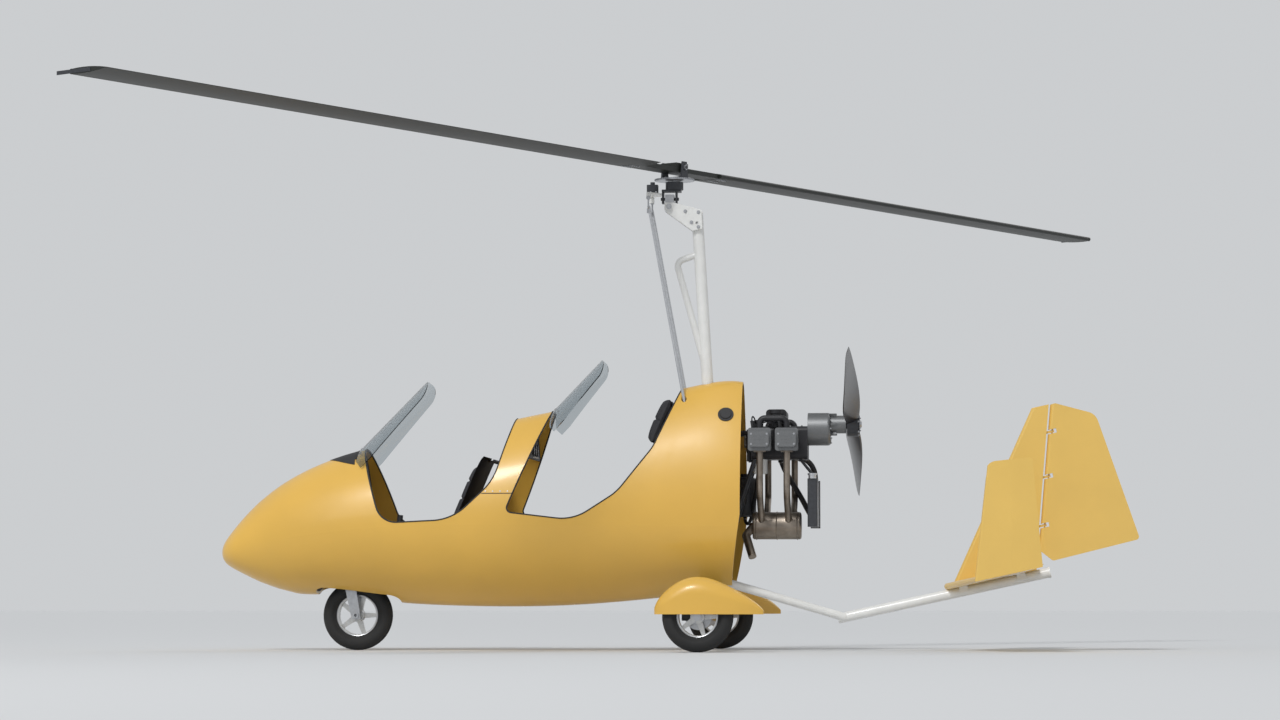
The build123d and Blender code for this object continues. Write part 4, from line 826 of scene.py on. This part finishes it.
def swell(bm):
    """Pad stuffed by a short cloth simulation, each point moved by no more than PAD_CAP."""
    scene = bpy.context.scene
    mesh = bpy.data.meshes.new("pad")
    bm.to_mesh(mesh)
    piece = bpy.data.objects.new("pad", mesh)
    scene.collection.objects.link(piece)
    remesh = piece.modifiers.new("remesh", "REMESH")
    remesh.mode = "VOXEL"
    remesh.voxel_size = PAD_VOXEL
    piece.data = applied_mesh(piece)
    still = [vertex.co.copy() for vertex in piece.data.vertices]
    cloth = piece.modifiers.new("cloth", "CLOTH")
    cloth.settings.use_pressure = True
    cloth.settings.uniform_pressure_force = PAD_PRESSURE
    cloth.settings.effector_weights.gravity = 0
    for number in range(1, PAD_FRAMES + 1):
        scene.frame_set(number)
    piece.data = applied_mesh(piece)
    scene.frame_set(1)
    for vertex, start in zip(piece.data.vertices, still):
        step = vertex.co - start
        vertex.co = start + step.normalized() * min(step.length, PAD_CAP)
    piece.modifiers.new("smooth", "SUBSURF")
    mesh = applied_mesh(piece)
    bm.clear()
    bm.from_mesh(mesh)
    bpy.data.objects.remove(piece)
    return bm


def pad_mesh(width, length, thick, channels):
    """Stuffed pad with channels sewn across its upper face."""
    bm = cushion_mesh(width - 0.008, length - 0.008, thick - 0.006)
    bm = swell(bm)
    for vert in bm.verts:
        for c in range(1, channels):
            off = vert.co.y - (2 * c / channels - 1) * length / 2
            dip = CHANNEL_DEPTH * math.exp(-((off / CHANNEL_WIDTH) ** 2))
            vert.co.z -= max(min(dip, vert.co.z * 0.6), 0.0)
    return bm


def place_cushion(name, bm, centre, slope):
    turn = Matrix.Rotation(slope, 4, "Y") @ Matrix.Rotation(math.radians(90), 4, "Z")
    bmesh.ops.transform(bm, matrix=Matrix.Translation(centre) @ turn, verts=bm.verts)
    pad = add_piece(name, bm, "seat", "airframe", 60.0)
    return pad


def make_seats():
    """Both seats: bucket, pan cushion and back cushion."""
    for seat in SEATS:
        node, back_x, recline, back_length, pan, half = seat
        make_seat_shell(seat)
        lean = math.radians(recline)
        pan_length = pan - 0.055
        centre = Vector((back_x - 0.045 - pan_length / 2 - 0.022, 0, SEAT_PAN_Z + 0.028))
        pan_pad = pad_mesh(2 * half - 0.050, pan_length, 0.042, 3)
        place_cushion(f"{node}_pan_cushion", pan_pad, centre, math.radians(3))
        up = Vector((math.sin(lean), 0, math.cos(lean)))
        normal = Vector((-up.z, 0, up.x))
        foot = Vector((back_x - 0.060, 0, SEAT_PAN_Z))
        slant = back_length / math.cos(lean)
        middle = foot + up * (slant * 0.54) + normal * 0.027
        back_pad = pad_mesh(2 * half - 0.056, slant * 0.84, 0.040, 5)
        place_cushion(f"{node}_back_cushion", back_pad, middle, lean - math.pi / 2)


def make_headrest():
    """Padded headrest in place of the plain one."""
    low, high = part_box("headrest")
    lean = math.atan2(0.112, 0.256)
    bm = pad_mesh(high[1] - low[1] - 0.004, 0.262, 0.052, 2)
    pad = place_cushion("headrest_pad", bm, Vector((-0.066, 0, 1.178)), lean - math.pi / 2)
    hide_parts("headrest")


def make_radiator():
    """Thin fins over both faces of the radiator core, and its cap."""
    bm = bmesh.new()
    for i in range(44):
        z = 0.640 + i * 0.0053
        for x0, x1 in ((0.6975, 0.7001), (0.7379, 0.7405)):
            add_box(bm, (x0, -0.163, z), (x1, 0.163, z + 0.0012))
    add_piece("radiator_fins", bm, "rod_alloy", "airframe")
    bm = bmesh.new()
    top = Vector((0.719, -0.177, 0.876))
    add_cylinder(bm, top, top + Vector((0, 0, 0.020)), 0.020, 32)
    add_cylinder(bm, top + Vector((0, 0, 0.018)), top + Vector((0, 0, 0.027)), 0.024, 12)
    add_piece("radiator_cap", bm, "rod_alloy", "airframe")


def make_hoses():
    """Moulded coolant hoses and oil lines with their clamps."""
    clamps = bmesh.new()
    for name, radius, points in HOSES:
        add_tube(name, points, radius)
        for end, nxt in ((0, 1), (-1, -2)):
            a, b = Vector(points[end]), Vector(points[nxt])
            spot = a + (b - a).normalized() * 0.012
            add_ring(clamps, spot, b - a, radius + 0.0008, 0.0016, 32, 8)
    add_piece("hose_clamps", clamps, "steel", "airframe")


def make_ignition():
    """Ignition box on the engine case, with a lead and a plug cap for each cylinder."""
    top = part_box("engine_case")[1][2]
    bm = bmesh.new()
    add_box(bm, (0.412, -0.060, top - 0.001), (0.456, 0.060, top + 0.034))
    bmesh.ops.bevel(bm, geom=bm.edges, offset=0.004, segments=2, affect="EDGES")
    add_piece("ignition_box", bm, "engine_black", "airframe")
    plugs = bmesh.new()
    for index, x in enumerate(CYLINDER_X):
        for side, word in ((-1, "port"), (1, "starboard")):
            head_x = x + side * BANK_OFFSET - 0.034
            spot = Vector((head_x, side * 0.205, 1.133))
            tip = spot + Vector((-0.006, side * 0.004, 0.038))
            add_cylinder(plugs, spot, tip, 0.0085, 16)
            exit_x = 0.422 + 0.022 * index
            points = [
                (exit_x, side * 0.058, top + 0.018),
                (exit_x, side * 0.085, top + 0.026),
                ((exit_x + head_x) / 2, side * 0.135, 1.192),
                (tip.x, side * 0.195, 1.196),
                (tip.x, tip.y, tip.z - 0.004),
            ]
            add_tube(f"ignition_lead_{index}_{word}", points, 0.0036)
    add_piece("plug_caps", plugs, "dark_moulding", "airframe")


def cylinder_places():
    """Side and x of each of the four cylinders."""
    return [(side, x + side * BANK_OFFSET) for x in CYLINDER_X for side in (-1, 1)]


def make_engine_fastenings():
    """Bolts of the rocker covers, gearbox and front cover, header flanges, oil filter and muffler bands."""
    bolts = bmesh.new()
    for side, x in cylinder_places():
        for dx in (-0.040, 0.040):
            for dz in (-0.026, 0.026):
                add_bolt(bolts, (x + dx, side * 0.2735, CRANK_Z + dz), (0, side, 0), 0.0036)
    for spot in circle_points((0.8075, 0, 1.136), (1, 0, 0), 0.0735, 10, math.radians(18)):
        add_bolt(bolts, spot, (1, 0, 0), 0.0036)
    for spot in circle_points((0.3745, 0, CRANK_Z), (-1, 0, 0), 0.052, 8, math.radians(22)):
        add_bolt(bolts, spot, (-1, 0, 0), 0.0036)
    for x in (0.430, 0.530, 0.660):
        for side in (-1, 1):
            add_bolt(bolts, (x, side * 0.050, 1.1485), (0, 0, 1), 0.0045)
    add_piece("engine_bolts", bolts, "steel", "airframe")
    ribs = bmesh.new()
    for side, x in cylinder_places():
        y0, y1 = sorted((side * 0.2730, side * 0.2760))
        for dz in (-0.018, 0.0, 0.018):
            z = CRANK_Z + dz
            add_box(ribs, (x - 0.030, y0, z - 0.003), (x + 0.030, y1, z + 0.003))
    add_cylinder(ribs, (0.3745, 0, CRANK_Z), (0.362, 0, CRANK_Z), 0.034, 36)
    add_piece("cover_ribs", ribs, "engine_alloy", "airframe")
    bm = bmesh.new()
    add_cylinder(bm, (0.445, -0.040, 0.984), (0.445, -0.040, 0.905), 0.037, 40)
    add_ring(bm, (0.445, -0.040, 0.908), (0, 0, 1), 0.034, 0.003, 40, 8)
    add_piece("oil_filter", bm, "white_paint", "airframe")
    bands = bmesh.new()
    for x in (0.424, 0.529, 0.634):
        add_ring(bands, (x, 0, 0.640), (1, 0, 0), 0.0702, 0.0030, 56, 8)
    for side, x in cylinder_places():
        centre = Vector((x, side * 0.205, 1.019))
        add_box(bands, centre + Vector((-0.030, -0.022, -0.008)), centre + Vector((0.030, 0.022, 0.0)))
    bmesh.ops.remove_doubles(bands, verts=bands.verts, dist=1e-6)
    add_piece("exhaust_bands", bands, "exhaust_steel", "airframe")


def make_rotor_fastenings():
    """Bolts through the hub bar and blade roots, tip caps, and the teeter bolt's nuts."""
    turn = Matrix.Rotation(math.radians(ROTOR_AZIMUTH), 4, "Z")
    top = TEETER_Z - HUB_BAR_DROP + HUB_BAR_HALF
    bolts = bmesh.new()
    for way in (-1, 1):
        for index in range(5):
            for y in (-0.026, 0.026):
                spot = turn @ Vector((way * (0.345 + 0.018 * index), y, top))
                add_bolt(bolts, spot, (0, 0, 1), 0.0048)
                under = turn @ Vector((way * (0.345 + 0.018 * index), y, top - 2 * HUB_BAR_HALF))
                add_bolt(bolts, under, (0, 0, -1), 0.0048)
        for index in range(3):
            spot = turn @ Vector((way * (0.100 + 0.060 * index), 0, top))
            add_bolt(bolts, spot, (0, 0, 1), 0.0060)
    add_piece("hub_bar_bolts", bolts, "steel", "rotor")
    caps = bmesh.new()
    for way in (-1, 1):
        x0, x1 = sorted((way * 4.2500, way * 4.2515))
        add_box(caps, (x0, -0.062, top - 0.0205), (x1, 0.140, top - 0.0035), turn)
    add_piece("blade_tip_caps", caps, "dark_metal", "rotor")
    nuts = bmesh.new()
    for side in (-1, 1):
        spot = turn @ Vector((0, side * 0.0675, TEETER_Z))
        add_cylinder(nuts, spot, spot + (turn @ Vector((0, side * 0.0095, 0))), 0.0155, 6)
        for x in (-0.018, 0.018):
            foot = turn @ Vector((x, side * 0.044, 2.449))
            add_bolt(nuts, foot, (0, 0, 1), 0.0042)
    add_piece("teeter_nuts", nuts, "steel", "rotor_mast")


def make_mast_fastenings():
    """Bolts of the mast's cheek plates and of the rotor head, and the push rods' upper eyes."""
    bolts = bmesh.new()
    for side in (-1, 1):
        for x, z in ((0.128, 2.186), (0.092, 2.210), (0.128, 2.262), (0.060, 2.268)):
            add_bolt(bolts, (x, side * 0.046, z), (0, side, 0), 0.0065)
        tip = Vector((-0.024, side * 0.060, 2.292))
        add_bolt(bolts, tip, (0, side, 0), 0.0100)
    add_piece("mast_bolts", bolts, "steel", "airframe")
    eyes = bmesh.new()
    for side in (-1, 1):
        top = Vector((-0.126, side * 0.094, 2.288))
        eye = Vector((-0.126, side * 0.1125, 2.332))
        elbow = Vector((-0.126, side * 0.1125, 2.288))
        add_cylinder(eyes, top - Vector((0, 0, 0.034)), top - Vector((0, 0, 0.010)), 0.0105, 6)
        add_cylinder(eyes, top - Vector((0, 0, 0.014)), elbow, 0.0048, 16)
        add_cylinder(eyes, elbow - Vector((0, 0, 0.003)), eye - Vector((0, 0, 0.008)), 0.0045, 16)
        outer = eye + Vector((0, side * 0.0050, 0))
        add_cylinder(eyes, eye - Vector((0, side * 0.0050, 0)), outer, 0.0110, 28)
        add_bolt(eyes, outer, (0, side, 0), 0.0055)
    add_piece("push_rod_eyes", eyes, "steel", "airframe")
    head = bmesh.new()
    for side in (-1, 1):
        for x in (-0.118, -0.090):
            add_bolt(head, (x, side * 0.075, 2.364), (0, 0, 1), 0.0045)
    for spot in circle_points((0, 0, 2.424), (0, 0, 1), 0.036, 6, math.radians(30)):
        add_bolt(head, spot, (0, 0, 1), 0.0030)
    add_piece("head_bolts", head, "steel", "rotor_head")


def make_propeller_fastenings():
    """Ring of hub bolts behind the propeller, and its centre cap."""
    bm = bmesh.new()
    for spot in circle_points(PROP_HUB, (1, 0, 0), 0.053, 6, math.radians(15)):
        add_bolt(bm, spot, (1, 0, 0), 0.0055)
    cap = Vector(PROP_HUB) + Vector((0.008, 0, 0))
    for spot in circle_points(cap, (1, 0, 0), 0.032, 6):
        add_bolt(bm, spot, (1, 0, 0), 0.0048)
    add_cylinder(bm, cap, cap + Vector((0.010, 0, 0)), 0.020, 32, 0.016)
    add_piece("propeller_bolts", bm, "steel", "propeller")


def make_filler_cap(tree):
    """Filler cap on the port side of the fairing behind the rear seat."""
    spot, normal = side_hit(tree, 0.277, 1.205, -1)
    bm = bmesh.new()
    add_cylinder(bm, spot - normal * 0.002, spot + normal * 0.004, 0.040, 40)
    add_cylinder(bm, spot + normal * 0.003, spot + normal * 0.010, 0.030, 40, 0.027)
    add_piece("filler_cap", bm, "dark_moulding", "airframe")


def make_boom_plug():
    """Plastic plug in the open end of the tail boom."""
    way = Vector((math.cos(math.radians(BOOM_RISE)), 0, math.sin(math.radians(BOOM_RISE))))
    end = Vector(BOOM_BEND) + way * BOOM_LENGTH
    bm = bmesh.new()
    add_cylinder(bm, end - way * 0.001, end + way * 0.006, 0.0265, 36, 0.0245)
    add_piece("boom_plug", bm, "dark_moulding", "airframe")


def make_stage():
    """Plain pale floor that runs out of view, and a plain world of the floor's tone."""
    bpy.ops.mesh.primitive_plane_add(size=400, location=(0, 0, 0))
    floor = bpy.context.object
    floor.name = "studio_floor"
    material = bpy.data.materials.new("studio_floor")
    material.use_nodes = True
    shader = material.node_tree.nodes["Principled BSDF"]
    shader.inputs["Base Color"].default_value = (*FLOOR_COLOUR, 1)
    shader.inputs["Roughness"].default_value = 1.0
    shader.inputs["Specular IOR Level"].default_value = 0.0
    floor.data.materials.append(material)
    world = bpy.data.worlds.new("studio")
    bpy.context.scene.world = world
    world.use_nodes = True
    tree = world.node_tree
    light = tree.nodes["Background"]
    light.inputs["Color"].default_value = (*WORLD_COLOUR, 1)
    light.inputs["Strength"].default_value = WORLD_STRENGTH
    seen = tree.nodes.new("ShaderNodeBackground")
    seen.inputs["Color"].default_value = (*BACKGROUND_COLOUR, 1)
    path = tree.nodes.new("ShaderNodeLightPath")
    either = tree.nodes.new("ShaderNodeMath")
    either.operation = "MAXIMUM"
    tree.links.new(path.outputs["Is Camera Ray"], either.inputs[0])
    tree.links.new(path.outputs["Is Transmission Ray"], either.inputs[1])
    mix = tree.nodes.new("ShaderNodeMixShader")
    tree.links.new(either.outputs["Value"], mix.inputs["Fac"])
    tree.links.new(light.outputs["Background"], mix.inputs[1])
    tree.links.new(seen.outputs["Background"], mix.inputs[2])
    tree.links.new(mix.outputs["Shader"], tree.nodes["World Output"].inputs["Surface"])


def add_lamp(name, kind, place, size, power):
    """Soft lamp that points at the middle of the object."""
    data = bpy.data.lights.new(name, kind)
    if kind == "SUN":
        data.angle = math.radians(size)
    else:
        data.size = size
    data.energy = power
    lamp = bpy.data.objects.new(name, data)
    bpy.context.scene.collection.objects.link(lamp)
    lamp.location = place
    lamp.rotation_euler = (Vector((0, 0, 1)) - Vector(place)).to_track_quat("-Z", "Y").to_euler()


def make_camera():
    """Camera at the photograph's azimuth, its lens close to the floor."""
    data = bpy.data.cameras.new("camera")
    data.lens = CAMERA_LENS
    camera = bpy.data.objects.new("camera", data)
    bpy.context.scene.collection.objects.link(camera)
    turn = math.radians(CAMERA_AZIMUTH)
    camera.location = (CAMERA_DISTANCE * math.sin(turn), -CAMERA_DISTANCE * math.cos(turn), CAMERA_HEIGHT)
    camera.rotation_euler = (Vector(CAMERA_AIM) - camera.location).to_track_quat("-Z", "Y").to_euler()
    bpy.context.scene.camera = camera


bpy.context.scene.view_settings.view_transform = "Standard"
dress_nodes()
make_seats()
make_headrest()
shell_tree = surface_tree("pod_shell", "cockpit_hood")
make_tyres()
make_brakes()
make_leg_collars()
make_rim_trim()
make_hood_seams(shell_tree)
make_nose_skin(shell_tree)
make_glare_panel(shell_tree)
make_screen_fittings(shell_tree, FRONT_SCREEN, "front_screen")
make_screen_fittings(shell_tree, REAR_SCREEN, "rear_screen")
make_dials()
make_radiator()
make_hoses()
make_ignition()
make_engine_fastenings()
make_rotor_fastenings()
make_mast_fastenings()
make_propeller_fastenings()
make_filler_cap(shell_tree)
make_boom_plug()
make_stage()
for lamp_values in LAMPS:
    add_lamp(*lamp_values)
make_camera()
